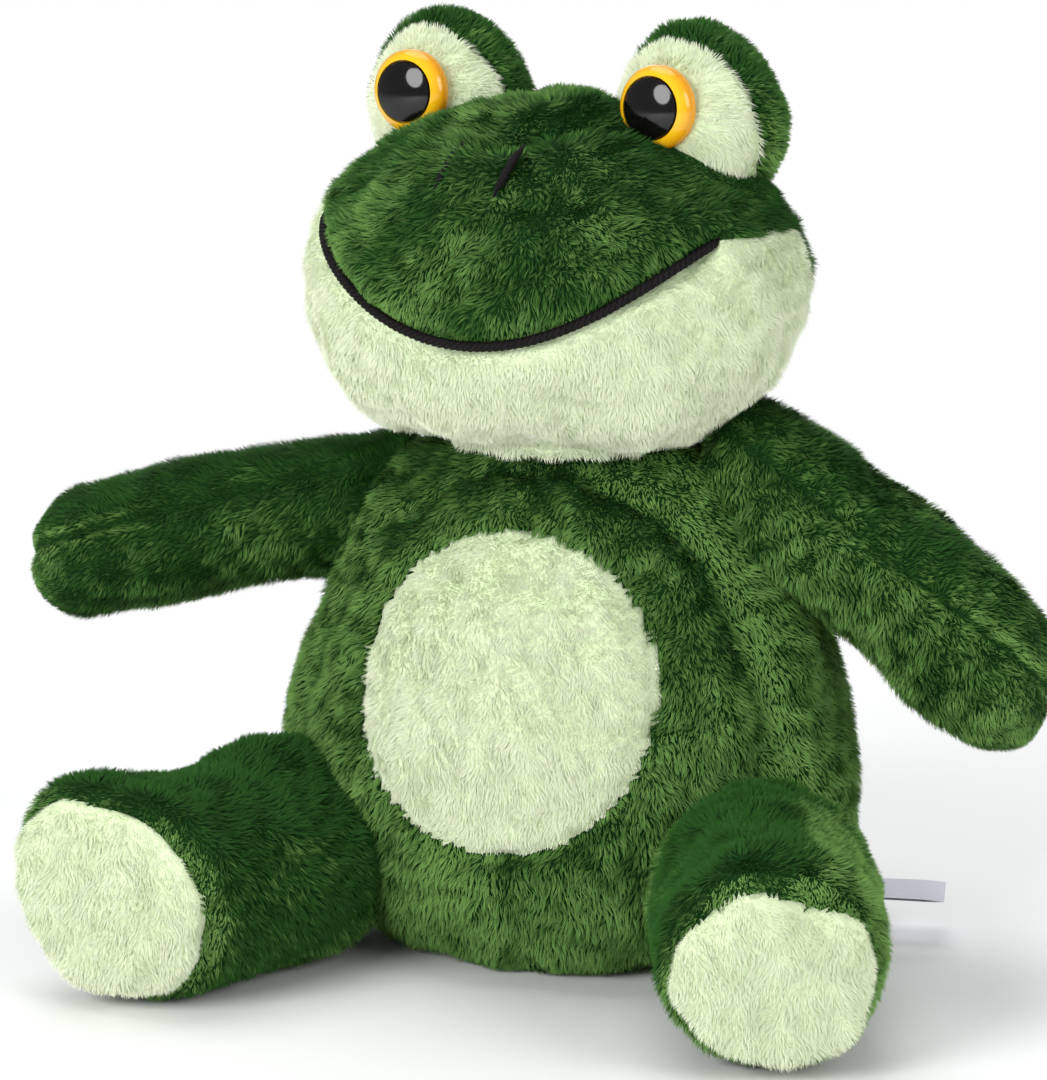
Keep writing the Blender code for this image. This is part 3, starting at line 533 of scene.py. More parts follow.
class Form:
    """A closed surface of rings with a point at each end, as points and triangles."""

    def __init__(self, rings, first, last):
        rows = len(rings)
        sides = len(rings[0])
        self.points = np.concatenate([np.array(rings).reshape(-1, 3), [first, last]])
        row, side = np.meshgrid(np.arange(rows - 1), np.arange(sides), indexing='ij')
        near = (row * sides + side).ravel()
        beside = (row * sides + (side + 1) % sides).ravel()
        low = np.stack([near, beside, beside + sides], 1)
        high = np.stack([near, beside + sides, near + sides], 1)
        around = np.arange(sides)
        following = (around + 1) % sides
        start = np.stack([following, around, np.full(sides, rows * sides)], 1)
        top = (rows - 1) * sides
        end = np.stack([top + around, top + following, np.full(sides, rows * sides + 1)], 1)
        self.faces = np.concatenate([low, high, start, end])
        if self.volume() < 0:
            self.faces = self.faces[:, ::-1]

    def volume(self):
        a, b, c = (self.points[self.faces[:, k]] for k in range(3))
        return np.einsum('ij,ij->i', a, np.cross(b, c)).sum() / 6

    def normals(self):
        a, b, c = (self.points[self.faces[:, k]] for k in range(3))
        face = np.cross(b - a, c - a)
        total = np.zeros_like(self.points)
        for k in range(3):
            np.add.at(total, self.faces[:, k], face)
        return unit(total)

    def offset(self, distance):
        """Move each point out along its normal. A negative distance moves it in."""
        self.points = self.points + self.normals() * np.broadcast_to(distance, len(self.points))[:, None]
        return self

    def keep_above(self, height):
        self.points[:, 2] = np.maximum(self.points[:, 2], height)

    def copy(self):
        twin = object.__new__(Form)
        twin.points = self.points.copy()
        twin.faces = self.faces.copy()
        return twin

    def middles(self):
        return self.points[self.faces].mean(1)

    def part(self, keep):
        """The faces that a mask keeps, with only their points."""
        faces = self.faces[keep]
        used, index = np.unique(faces, return_inverse=True)
        twin = object.__new__(Form)
        twin.points = self.points[used]
        twin.faces = index.reshape(-1, 3)
        twin.outward = self.normals()[used]
        return twin


def ellipse_ring(centre, half_width, front, back, sides, forward=0.0):
    """A level ring that is deeper in front than behind."""
    cosine, sine = circle(sides)
    depth = np.where(sine > 0, back, front)
    return centre + np.stack([half_width * cosine, depth * sine - forward, np.zeros(sides)], 1)


def torso_sizes(height):
    """Half width, front depth and back depth of the torso at a height."""
    share = height / TORSO_HEIGHT
    top = NECK[2] + NECK_RADIUS * math.cos(math.radians(NECK_RING))
    if height >= top:
        radius = math.sqrt(max(NECK_RADIUS ** 2 - (height - NECK[2]) ** 2, 0))
        return radius, radius, radius
    table = TORSO_SHARES + ((top / TORSO_HEIGHT,) + tuple(
        NECK_RADIUS * math.sin(math.radians(NECK_RING)) / size
        for size in (TORSO_HALF_WIDTH, BELLY_DEPTH, BACK_DEPTH)),)
    width, front, back = read_shares(table, share)
    return TORSO_HALF_WIDTH * width, BELLY_DEPTH * front, BACK_DEPTH * back


def torso_form(rows, sides):
    """The torso as one smooth closed surface."""
    rings = []
    for index in range(1, rows):
        height = TORSO_HEIGHT * (index / rows) ** 0.94
        rings.append(ellipse_ring(np.array((0, 0, height)), *torso_sizes(height), sides))
    flat = [ellipse_ring(np.zeros(3), *(np.array(torso_sizes(0.0)) * share), sides)
            for share in (0.35, 0.7, 0.92, 1.0)]
    return Form(flat + rings, np.zeros(3), np.array((0, 0, TORSO_HEIGHT)))


def head_sizes(height):
    """Half width, muzzle depth and nape depth at a height over the head's middle."""
    share = height / HEAD_HALF_HEIGHT
    size = rounded(share, JAW_SQUARENESS if share < 0 else 2.0)
    return HEAD_HALF_WIDTH * size, MUZZLE_DEPTH * size, NAPE_DEPTH * size


def head_form(rows, sides):
    """The head as one smooth closed surface, in its own frame."""
    rings = []
    for index in range(1, rows):
        height = -HEAD_HALF_HEIGHT * math.cos(math.pi * index / rows)
        centre = np.array((0, 0, HEAD_RISE + height))
        rings.append(ellipse_ring(centre, *head_sizes(height), sides, HEAD_FORWARD))
    ends = [np.array((0, -HEAD_FORWARD, HEAD_RISE + side * HEAD_HALF_HEIGHT)) for side in (-1, 1)]
    return Form(rings, *ends)


def mound_form(rows, sides):
    """An eye mound, in its own frame."""
    cosine, sine = circle(sides)
    rings = []
    for index in range(1, rows):
        turn = math.pi * index / rows
        ring = [np.sin(turn) * cosine, np.full(sides, -np.cos(turn)), np.sin(turn) * sine]
        rings.append(np.stack(ring, 1) * MOUND_SIZE)
    reach = np.array((0, MOUND_SIZE[1], 0))
    return Form(rings, -reach, reach)


class Limb:
    """An arm or a leg: its frame, its sizes along its length and its bend."""

    def __init__(self, name, side, origin, direction, length, radius, shares, bend=0.0, slant=0.0):
        along = unit(np.array(direction))
        across = unit(np.cross((0, 0, 1), along))
        self.axes = np.stack([along, across, np.cross(along, across)])
        self.name = name
        self.side = side
        self.origin = origin
        self.length = length
        self.radius = radius
        self.shares = shares
        self.bend = bend
        self.slant = slant
        self.tip = shares[-1]

    def world(self, local):
        return self.origin + local @ self.axes

    def local(self, points):
        return (points - self.origin) @ self.axes.T

    def size(self, share):
        """Radius at a share of the length, with a round end."""
        end, size = self.tip
        if share > end:
            return self.radius * size * math.sqrt(max(1 - ((share - end) / (1 - end)) ** 2, 0))
        return self.radius * read_shares(self.shares, share)[0]

    def ring(self, share, radius, sides):
        cosine, sine = circle(sides)
        across = radius * cosine
        ahead = self.length * share - self.slant * share * abs(share) * across
        return np.stack([ahead, across, radius * sine - self.bend * share * abs(share)], 1)

    def form(self, rows, sides):
        """The limb with a round tip, or with a bulging sole where its table covers its full length."""
        start = self.shares[0][0]
        end = self.tip[0]
        places = list(np.linspace(start, end, rows))
        rings = [self.ring(share, self.size(share), sides) for share in places]
        if end < 1:
            for index in range(1, TIP_ROWS):
                share = end + (1 - end) * math.sin(math.pi / 2 * index / TIP_ROWS)
                rings.append(self.ring(share, self.size(share), sides))
            last = np.array((self.length, 0, -self.bend))
        else:
            for index in range(1, TIP_ROWS):
                angle = math.pi / 2 * index / TIP_ROWS
                ring = self.ring(1.0, self.radius * self.tip[1] * math.cos(angle), sides)
                ring[:, 0] += SOLE_BULGE * math.sin(angle)
                rings.append(ring)
            last = np.array((self.length + SOLE_BULGE, 0, 0))
        first = np.array((self.length * start - self.radius * 0.3, 0, 0))
        made = Form(rings, first, last)
        made.points = self.world(made.points)
        if made.volume() < 0:
            made.faces = made.faces[:, ::-1]
        return made

    def inside(self, points, depth):
        """True where a point lies deeper in the limb than a depth."""
        local = self.local(points)
        start = self.shares[0][0]
        share = np.clip(local[:, 0] / self.length, start, 1.0)
        steps = np.linspace(-0.4, 1, 60)
        sizes = np.interp(share, steps, [self.size(max(step, start)) for step in steps])
        rise = local[:, 2] + self.bend * share * np.abs(share)
        ahead = local[:, 0] > self.length * start
        return ahead & (np.hypot(local[:, 1], rise) < sizes - depth)


def arm_direction(side, drop, forward):
    fall, lean = math.radians(drop), math.radians(forward)
    return (side * math.cos(lean) * math.cos(fall), -math.sin(lean) * math.cos(fall), -math.sin(fall))


def leg_direction(side, splay):
    angle = math.radians(splay)
    return (side * math.sin(angle), -math.cos(angle), 0)


ARM_SIZES = (ARM_LENGTH, ARM_RADIUS, ARM_SHARES)
LEG_SIZES = (LEG_LENGTH, LEG_RADIUS, LEG_SHARES)
RIGHT_ARM = Limb("right_arm", -1, RIGHT_SHOULDER, arm_direction(-1, RIGHT_ARM_DROP, RIGHT_ARM_FORWARD),
                 *ARM_SIZES, bend=RIGHT_ARM_BEND)
LEFT_ARM = Limb("left_arm", 1, LEFT_SHOULDER, arm_direction(1, LEFT_ARM_DROP, LEFT_ARM_FORWARD),
                *ARM_SIZES, bend=LEFT_ARM_BEND)
RIGHT_LEG = Limb("right_leg", -1, HIP * (-1, 1, 1), leg_direction(-1, RIGHT_LEG_SPLAY),
                 *LEG_SIZES, slant=math.tan(math.radians(RIGHT_SOLE_TURN)))
LEFT_LEG = Limb("left_leg", 1, HIP, leg_direction(1, LEFT_LEG_SPLAY), *LEG_SIZES)
LIMBS = (RIGHT_ARM, LEFT_ARM, RIGHT_LEG, LEFT_LEG)

HEAD_AXES = turn_matrix(HEAD_TURN, HEAD_TILT)


class Mound:
    """The frame of one eye mound, turned on the head."""

    def __init__(self, side, name, turn):
        self.side = side
        self.name = name
        self.middle = np.array((MOUND_ASIDE + side * MOUND_SPACING / 2, -MOUND_FORWARD, MOUND_RISE))
        self.turn = turn_matrix(turn, 0)
        self.axes = HEAD_AXES @ self.turn

    def world(self, local):
        return HEAD_ORIGIN + (local @ self.turn.T + self.middle) @ HEAD_AXES.T

    def local(self, points):
        return ((points - HEAD_ORIGIN) @ HEAD_AXES - self.middle) @ self.turn


MOUNDS = (Mound(-1, "right", RIGHT_MOUND_TURN), Mound(1, "left", LEFT_MOUND_TURN))


def head_world(local):
    return HEAD_ORIGIN + local @ HEAD_AXES.T


def head_local(points):
    return (points - HEAD_ORIGIN) @ HEAD_AXES


def inside_head(points, depth):
    local = head_local(points)
    height = local[:, 2] - HEAD_RISE
    share = np.clip(height / HEAD_HALF_HEIGHT, -1, 1)
    size = np.where(share < 0, rounded(share, JAW_SQUARENESS), rounded(share, 2.0))
    y = local[:, 1] + HEAD_FORWARD
    reach = np.where(y > 0, NAPE_DEPTH, MUZZLE_DEPTH) - depth
    width = HEAD_HALF_WIDTH - depth
    fits = (local[:, 0] / width) ** 2 + (y / reach) ** 2 < size ** 2
    return fits & (np.abs(height) < HEAD_HALF_HEIGHT - depth)


def inside_torso(points, depth):
    heights = np.linspace(0, TORSO_HEIGHT, 100)
    table = np.array([torso_sizes(h) for h in heights])
    width, front, back = (np.interp(points[:, 2], heights, table[:, k]) for k in range(3))
    reach = np.where(points[:, 1] > 0, back, front)
    across, along = (np.maximum(size - depth, 1e-6) for size in (width, reach))
    size = np.hypot(points[:, 0] / across, points[:, 1] / along)
    return (size < 1) & (points[:, 2] < TORSO_HEIGHT - depth) & (points[:, 2] > depth)


def bell(distance, width):
    """One at no distance, falling softly to nought beyond a width."""
    return np.exp(-(distance / width) ** 2)


def seam_shade(distance):
    """Fur that parts over a seam: a dark line beside a lit edge."""
    lit_edge = 0.20 * bell(distance + 3.5 * MM, 2.5 * MM)
    return lit_edge - 0.55 * bell(distance, 1.5 * MM)


def level_tone(value):
    """One level of painted light for the whole of a panel, painted shade below 0."""
    return lambda places: np.full(len(places), value)


def groove(distance, depth, width):
    """A sewn seam: how far the cloth is drawn in at a distance from it."""
    return -depth * bell(distance, width)


def swell(points, *places):
    """Soft fullness, or a soft hollow, around each place: its centre, reach and rise in millimetres."""
    total = np.zeros(len(points))
    for centre, reach, rise in places:
        distance = np.linalg.norm(points - np.array(centre) * MM, axis=1)
        total += rise * MM * bell(distance, reach * MM)
    return total


# ---- pieces ----

def make_mesh(name, points, loops, sizes):
    mesh = bpy.data.meshes.new(name)
    mesh.vertices.add(len(points))
    mesh.vertices.foreach_set("co", points.astype(np.float32).ravel())
    mesh.loops.add(len(loops))
    mesh.loops.foreach_set("vertex_index", loops.astype(np.int32))
    starts = np.concatenate([[0], np.cumsum(sizes)[:-1]])
    mesh.polygons.add(len(sizes))
    mesh.polygons.foreach_set("loop_start", starts.astype(np.int32))
    mesh.update(calc_edges=True)
    mesh.polygons.foreach_set("use_smooth", np.ones(len(sizes), bool))
    return mesh


def add_piece(name, mesh, material):
    piece = bpy.data.objects.new(name, mesh)
    bpy.context.scene.collection.objects.link(piece)
    mesh.materials.append(material)
    return piece


def form_piece(name, form, material, thickness=0.0):
    """A surface as a piece, with a cloth's thickness where it is asked for."""
    mesh = make_mesh(name, form.points, form.faces.ravel(), np.full(len(form.faces), 3))
    piece = add_piece(name, mesh, material)
    if thickness:
        shell = piece.modifiers.new("cloth", 'SOLIDIFY')
        shell.thickness = thickness
        shell.offset = -1.0
    return piece


def spread(form, density, random):
    """Random spots over a surface: their places and outward directions."""
    a, b, c = (form.points[form.faces[:, k]] for k in range(3))
    area = np.linalg.norm(np.cross(b - a, c - a), axis=1) / 2
    count = int(area.sum() * density / MM ** 2)
    face = random.choice(len(area), count, p=area / area.sum())
    u, v = random.random(count), random.random(count)
    fold = u + v > 1
    u, v = np.where(fold, 1 - u, u), np.where(fold, 1 - v, v)
    w = 1 - u - v
    corner = form.faces[face]
    weights = np.stack([w, u, v], 1)[:, :, None]
    places = (form.points[corner] * weights).sum(1)
    outward = unit((form.outward[corner] * weights).sum(1))
    return places, outward


def lay_fur(places, outward, comb, lean, unruly, seed, random):
    """The direction in which fur lies at each place: combed, with swirls and strays."""
    flow = comb(places)
    flow = unit(flow - outward * (flow * outward).sum(1, keepdims=True))
    side = np.cross(outward, flow)
    swirl = waves(places, 24 * MM, seed + 1) * 0.20 + waves(places, 6.5 * MM, seed + 2) * unruly
    swirl += random.normal(0, 0.12, len(places))
    flow = flow * np.cos(swirl)[:, None] + side * np.sin(swirl)[:, None]
    rise = lean + waves(places, 7 * MM, seed + 3) * 0.10 + random.normal(0, 0.10, len(places))
    rise = np.clip(rise, 0.12, 1.2)
    return flow * np.cos(rise)[:, None] + outward * np.sin(rise)[:, None]


def grow_pile(name, form, material, slot, comb, seed, keep, length, density, width, lean=0.75, unruly=0.38,
              shorten=None, tuft=0.9 * MM, contrast=1.0, nap=0.32, patchy=0.6, tone=None, gather=0.65):
    """Fur as fine ridged fibres, combed one way, that gather toward the tips of tufts.

    keep, shorten and tone are functions of places: which fibres stay, what share of their
    length they have, and how much painted light (painted shade below 0) their colour gets.
    """
    random = np.random.default_rng(seed)
    places, outward = spread(form, density, random)
    if keep is not None:
        kept = keep(places)
        places, outward = places[kept], outward[kept]
    count = len(places)
    roots, rises = spread(form, (MM / tuft) ** 2, random)
    tops = roots + lay_fur(roots, rises, comb, lean + 0.1, unruly, seed, random) * length
    tree = KDTree(len(roots))
    for index, root in enumerate(roots):
        tree.insert(root, index)
    tree.balance()
    nearest = np.array([tree.find(place)[1] for place in places])
    own = lay_fur(places, outward, comb, lean, unruly, seed, random)
    drawn = (tops[nearest] - places) / length
    ahead = unit(own * (1 - gather) + drawn * gather)
    sunk = (ahead * outward).sum(1, keepdims=True)
    ahead = unit(ahead + outward * np.maximum(0.15 - sunk, 0))
    reach = length * random.uniform(0.75, 1.1, count) * (1 + 0.10 * waves(places, 9 * MM, seed + 4))
    if shorten is not None:
        reach = reach * shorten(places)
    side = unit(np.cross(outward, ahead))
    half = side * (width * random.uniform(0.7, 1.25, count) / 2)[:, None]
    ridge = outward * (width * 0.35)
    tip = places + ahead * reach[:, None]
    corners = np.stack([places - half, places + half, places + ridge, tip], 1)
    corners[:, :, 2] = np.maximum(corners[:, :, 2], FLOOR_CLEARANCE)
    base = np.arange(count)[:, None] * 4
    loops = (base + np.array([0, 3, 2, 2, 3, 1])).ravel()
    mesh = make_mesh(name, corners.reshape(-1, 3), loops, np.full(count * 2, 3))
    along = np.tile(np.array([0, 0, 0.15, 1.0]), count)
    tuft_shade = random.normal(0, 0.10 * contrast, len(roots))
    patches = 0.14 * waves(places, 26 * MM, seed + 5) + 0.08 * waves(places, 8 * MM, seed + 6)
    # Painted light by how the pile lies: fibres that point down are painted lighter and fibres that rise over
    # tops darker, as light falls from above; patches add random mottle.
    nap_light_and_mottle = nap * (-ahead[:, 2] - 0.55) + patchy * patches
    shade = 0.5 + nap_light_and_mottle * contrast
    # Each panel's painted light and shade for each place.
    if tone is not None:
        shade = shade + tone(places)
    shade = np.clip(shade + tuft_shade[nearest] + random.normal(0, 0.07 * contrast, count), 0, 1)
    for title, values in (("along", along), ("shade", np.repeat(shade, 4))):
        layer = mesh.attributes.new(title, 'FLOAT', 'POINT')
        layer.data.foreach_set("value", values.astype(np.float32))
    return add_piece(name, mesh, material)


def fluffed(form, seed, depth, lumps):
    """A form's cloth surface: drawn in under its pile, with the unevenness of the filling."""
    made = form.copy().offset(-depth)
    uneven = waves(made.points, 26 * MM, seed) * lumps + waves(made.points, 11 * MM, seed + 1) * lumps * 0.35
    made.offset(uneven)
    made.keep_above(FLOOR_CLEARANCE)
    return made


def frame_along(path):
    """Two directions square to a path and to each other, at each of its points."""
    forward = unit(np.gradient(path, axis=0))
    side = unit(np.cross(forward, (0.31, 0.17, 0.93)))
    return side, np.cross(side, forward)


def ply(name, path, radius):
    """A round black thread through points, with a radius at each of them."""
    side, upward = frame_along(path)
    cosine, sine = circle(PLY_SIDES)
    rings = []
    for k in range(len(path)):
        ring = cosine[:, None] * side[k] + sine[:, None] * upward[k]
        rings.append(path[k] + ring * radius[k])
    return form_piece(name, Form(rings, path[0], path[-1]), black_thread)


def merge(pieces, name):
    """Join strands into one piece."""
    context = bpy.context
    for item in context.view_layer.objects:
        item.select_set(False)
    for piece in pieces:
        piece.select_set(True)
    context.view_layer.objects.active = pieces[0]
    bpy.ops.object.join()
    pieces[0].name = name
    return pieces[0]


def rope(name, path, radius, pitch, taper):
    """A black thread of twisted plies along a path, thinner toward its ends."""
    path = np.array(path)
    length = np.concatenate([[0], np.cumsum(np.linalg.norm(np.diff(path, axis=0), axis=1))])
    places = np.linspace(0, length[-1], int(length[-1] / (0.35 * MM)))
    fine = np.stack([np.interp(places, length, path[:, k]) for k in range(3)], 1)
    side, upward = frame_along(fine)
    ends = np.clip(np.minimum(places, places[-1] - places) / taper, 0.15, 1) ** 0.6
    strands = []
    for index in range(THREAD_PLIES):
        angle = 2 * np.pi * (places / pitch + index / THREAD_PLIES)
        orbit = radius * 0.48 * ends
        line = fine + side * (orbit * np.cos(angle))[:, None] + upward * (orbit * np.sin(angle))[:, None]
        strands.append(ply("%s_ply_%d" % (name, index), line, radius * 0.56 * ends))
    return merge(strands, name)


def on_limb(limb, near, far):
    """Settles a piece made for a limb by baking its place into its mesh; near and far, the places along the
    limb where its cloth is sewn on, are not used.
    """

    def settle(piece):
        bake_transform(piece)
    return settle


def on_body(body):
    def settle(piece):
        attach(piece, body)
    return settle


# Each pile runs from a root colour of painted shade to a tip colour of painted light.
dark_pile = pile_finish("dark_green_pile", rgb(12, 42, 10), rgb(38, 86, 26), rgb(120, 164, 84), 0.2)
pale_pile = pile_finish("pale_green_pile", rgb(221, 230, 196), rgb(229, 238, 206), rgb(240, 245, 227), 0.1)
# The dark backing is painted darker than the pile's middle colour: painted shade between the fibres.
dark_cloth = cloth_finish("dark_green_cloth", rgb(10, 38, 10), rgb(22, 62, 20))
pale_cloth = cloth_finish("pale_green_cloth", rgb(216, 234, 188), rgb(232, 244, 208))
black_thread = thread_finish("black_thread", rgb(8, 6, 7), rgb(36, 30, 31))
filling = filling_finish()
pouch_cloth = weave_finish("pouch_cloth", rgb(206, 202, 190), rgb(232, 228, 218), 0.6 * MM)
label_ribbon = weave_finish("label_ribbon", rgb(206, 206, 218), rgb(232, 232, 242), 0.3 * MM)


# Each kind of fur: its backing, its fibres, their slot and their usual settings
DARK_FUR = (dark_cloth, dark_pile, "dark_plush", {
    "length": DARK_PILE, "density": DARK_DENSITY, "width": DARK_WIDTH})
PALE_FUR = (pale_cloth, pale_pile, "pale_plush", {
    "length": PALE_PILE, "density": PALE_DENSITY, "width": PALE_WIDTH,
    "unruly": 0.35, "tuft": 0.5 * MM, "contrast": 0.2, "gather": 0.4})


def panel(kind, name, form, nodes, comb, seed, settle, keep=None, **fur):
    """A fur panel of one kind: its backing cloth and its pile, which settle puts on their body or bakes in
    place.
    """
    backing, fibres, slot, usual = kind
    cloth = form_piece(name + "_cloth", form, backing, CLOTH_THICKNESS)
    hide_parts(*nodes)
    pile = grow_pile(name + "_pile", form, fibres, slot, comb, seed, keep, **{**usual, **fur})
    for piece in (cloth, pile):
        settle(piece)


def fill(name, form, node, body, seed):
    """The fibre filling behind a skin."""
    core = form.copy().offset(-FILLING_DEPTH)
    core.offset(waves(core.points, 14 * MM, seed) * 0.25 * MM - 0.4 * MM)
    core.keep_above(FILLING_DEPTH)
    piece = form_piece(name, core, filling)
    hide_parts(node)
    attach(piece, body)


def torso_comb(places):
    outward = places * (1, 1, 0)
    return np.array((0.0, -0.1, -1.0)) + unit(outward) * 0.35


def from_patch(places):
    """Distance from the middle of the belly patch, seen from the front."""
    return np.hypot(places[:, 0] - PATCH_ASIDE, places[:, 2] - PATCH_HEIGHT)


def make_torso():
    """Three dark panels, the belly patch and what the torso holds."""
    smooth = torso_form(*TORSO_GRID)
    cloth = fluffed(smooth, 11, CLOTH_DEPTH, TORSO_LUMPS)
    points = cloth.points
    fullness = swell(points, *TORSO_SWELLS)
    front = points[:, 1] < -SIDE_SEAM_FORWARD
    seams = groove(points[:, 1] + SIDE_SEAM_FORWARD, *SIDE_SEAM)
    seams = seams + np.where(front, groove(points[:, 0], *FRONT_SEAM), 0)
    ring = from_patch(points)
    seams = seams + np.where(front, groove(ring - PATCH_RADIUS, *PATCH_SEAM), 0)
    belly = np.where(front & (ring < PATCH_RADIUS), BELLY_RISE * (1 - (ring / PATCH_RADIUS) ** 2), 0)
    on_patch = front & (ring < PATCH_RADIUS - 2 * MM)
    cloth.offset(np.where(on_patch, fullness + belly, fullness + belly + seams))
    cloth.keep_above(FLOOR_CLEARANCE)
    middles = cloth.middles()
    front = middles[:, 1] < -SIDE_SEAM_FORWARD
    patch = front & (from_patch(middles) < PATCH_RADIUS)
    left = middles[:, 0] > 0
    settle = on_body("torso")

    def open_air(places):
        hidden = inside_head(places, COVERED_BY_HEAD)
        for limb in LIMBS:
            hidden |= limb.inside(places, COVERED_DEPTH)
        return ~hidden & (places[:, 2] > TORSO_FUR_START)

    # Painted light on the front panels: lighter above 40 mm than near the floor and toward the frog's lit
    # right flank, with painted shade along the front and side seams beside a painted lit edge.
    def tone(places):
        rise = np.clip(places[:, 2] / (40 * MM), 0, 1)
        aside = places[:, 0] / TORSO_HALF_WIDTH
        level = TORSO_PAINTED_LIGHT + TORSO_TOP_PAINTED_LIGHT * rise + TORSO_RIGHT_PAINTED_LIGHT * np.clip(-aside, 0, 1)
        side_seam = seam_shade(-places[:, 1] - SIDE_SEAM_FORWARD) * (np.abs(aside) > 0.5)
        return level + seam_shade(places[:, 0]) * 0.4 + side_seam

    # Painted light on the back panel, more toward the frog's left flank where the side light falls, with
    # painted shade along the side seam beside a painted lit edge.
    def back_tone(places):
        side = np.clip(places[:, 0] / TORSO_HALF_WIDTH, 0, 1)
        return BACK_PAINTED_LIGHT + BACK_LEFT_PAINTED_LIGHT * side + seam_shade(places[:, 1] + SIDE_SEAM_FORWARD) * 0.7

    def from_edge(places):
        return np.clip((PATCH_RADIUS - from_patch(places)) / (3 * MM), 0.45, 1)

    panel(DARK_FUR, "torso_back", cloth.part(~front), ["torso_back_skin"], torso_comb, 101, settle,
          open_air, density=BACK_DENSITY, width=BACK_WIDTH, tone=back_tone)
    for name, half, seed in (("left", left, 102), ("right", ~left, 103)):
        name = "torso_front_" + name
        panel(DARK_FUR, name, cloth.part(front & ~patch & half), [name + "_skin"], torso_comb, seed,
              settle, open_air, tone=tone)
    panel(PALE_FUR, "belly_patch", cloth.part(patch), ["belly_patch"], torso_comb, 104, settle,
          shorten=from_edge)
    fill("torso_filling", smooth, "torso_stuffing", "torso", 12)


def smile_height(x):
    return -MOUTH_DROP + SMILE_RISE * (x / MOUTH_HALF_WIDTH) ** 2


def muzzle_point(x, height, stand_off):
    """A point off the muzzle's surface, in the head's frame."""
    width, front, _ = head_sizes(height)
    depth = front * rounded(x / width, 2)
    slope = np.array((x / width ** 2, -depth / front ** 2, height / HEAD_HALF_HEIGHT ** 2))
    return np.array((x, -HEAD_FORWARD - depth, HEAD_RISE + height)) + unit(slope) * stand_off


def head_comb(places):
    across = head_local(places)[:, :1] / HEAD_HALF_WIDTH
    return (across * (0.9, 0, 0) + np.array((-0.15, 0.35, -0.9))) @ HEAD_AXES.T


def chin_comb(places):
    return np.tile(np.array((0.0, 0.25, -1.0)), (len(places), 1))


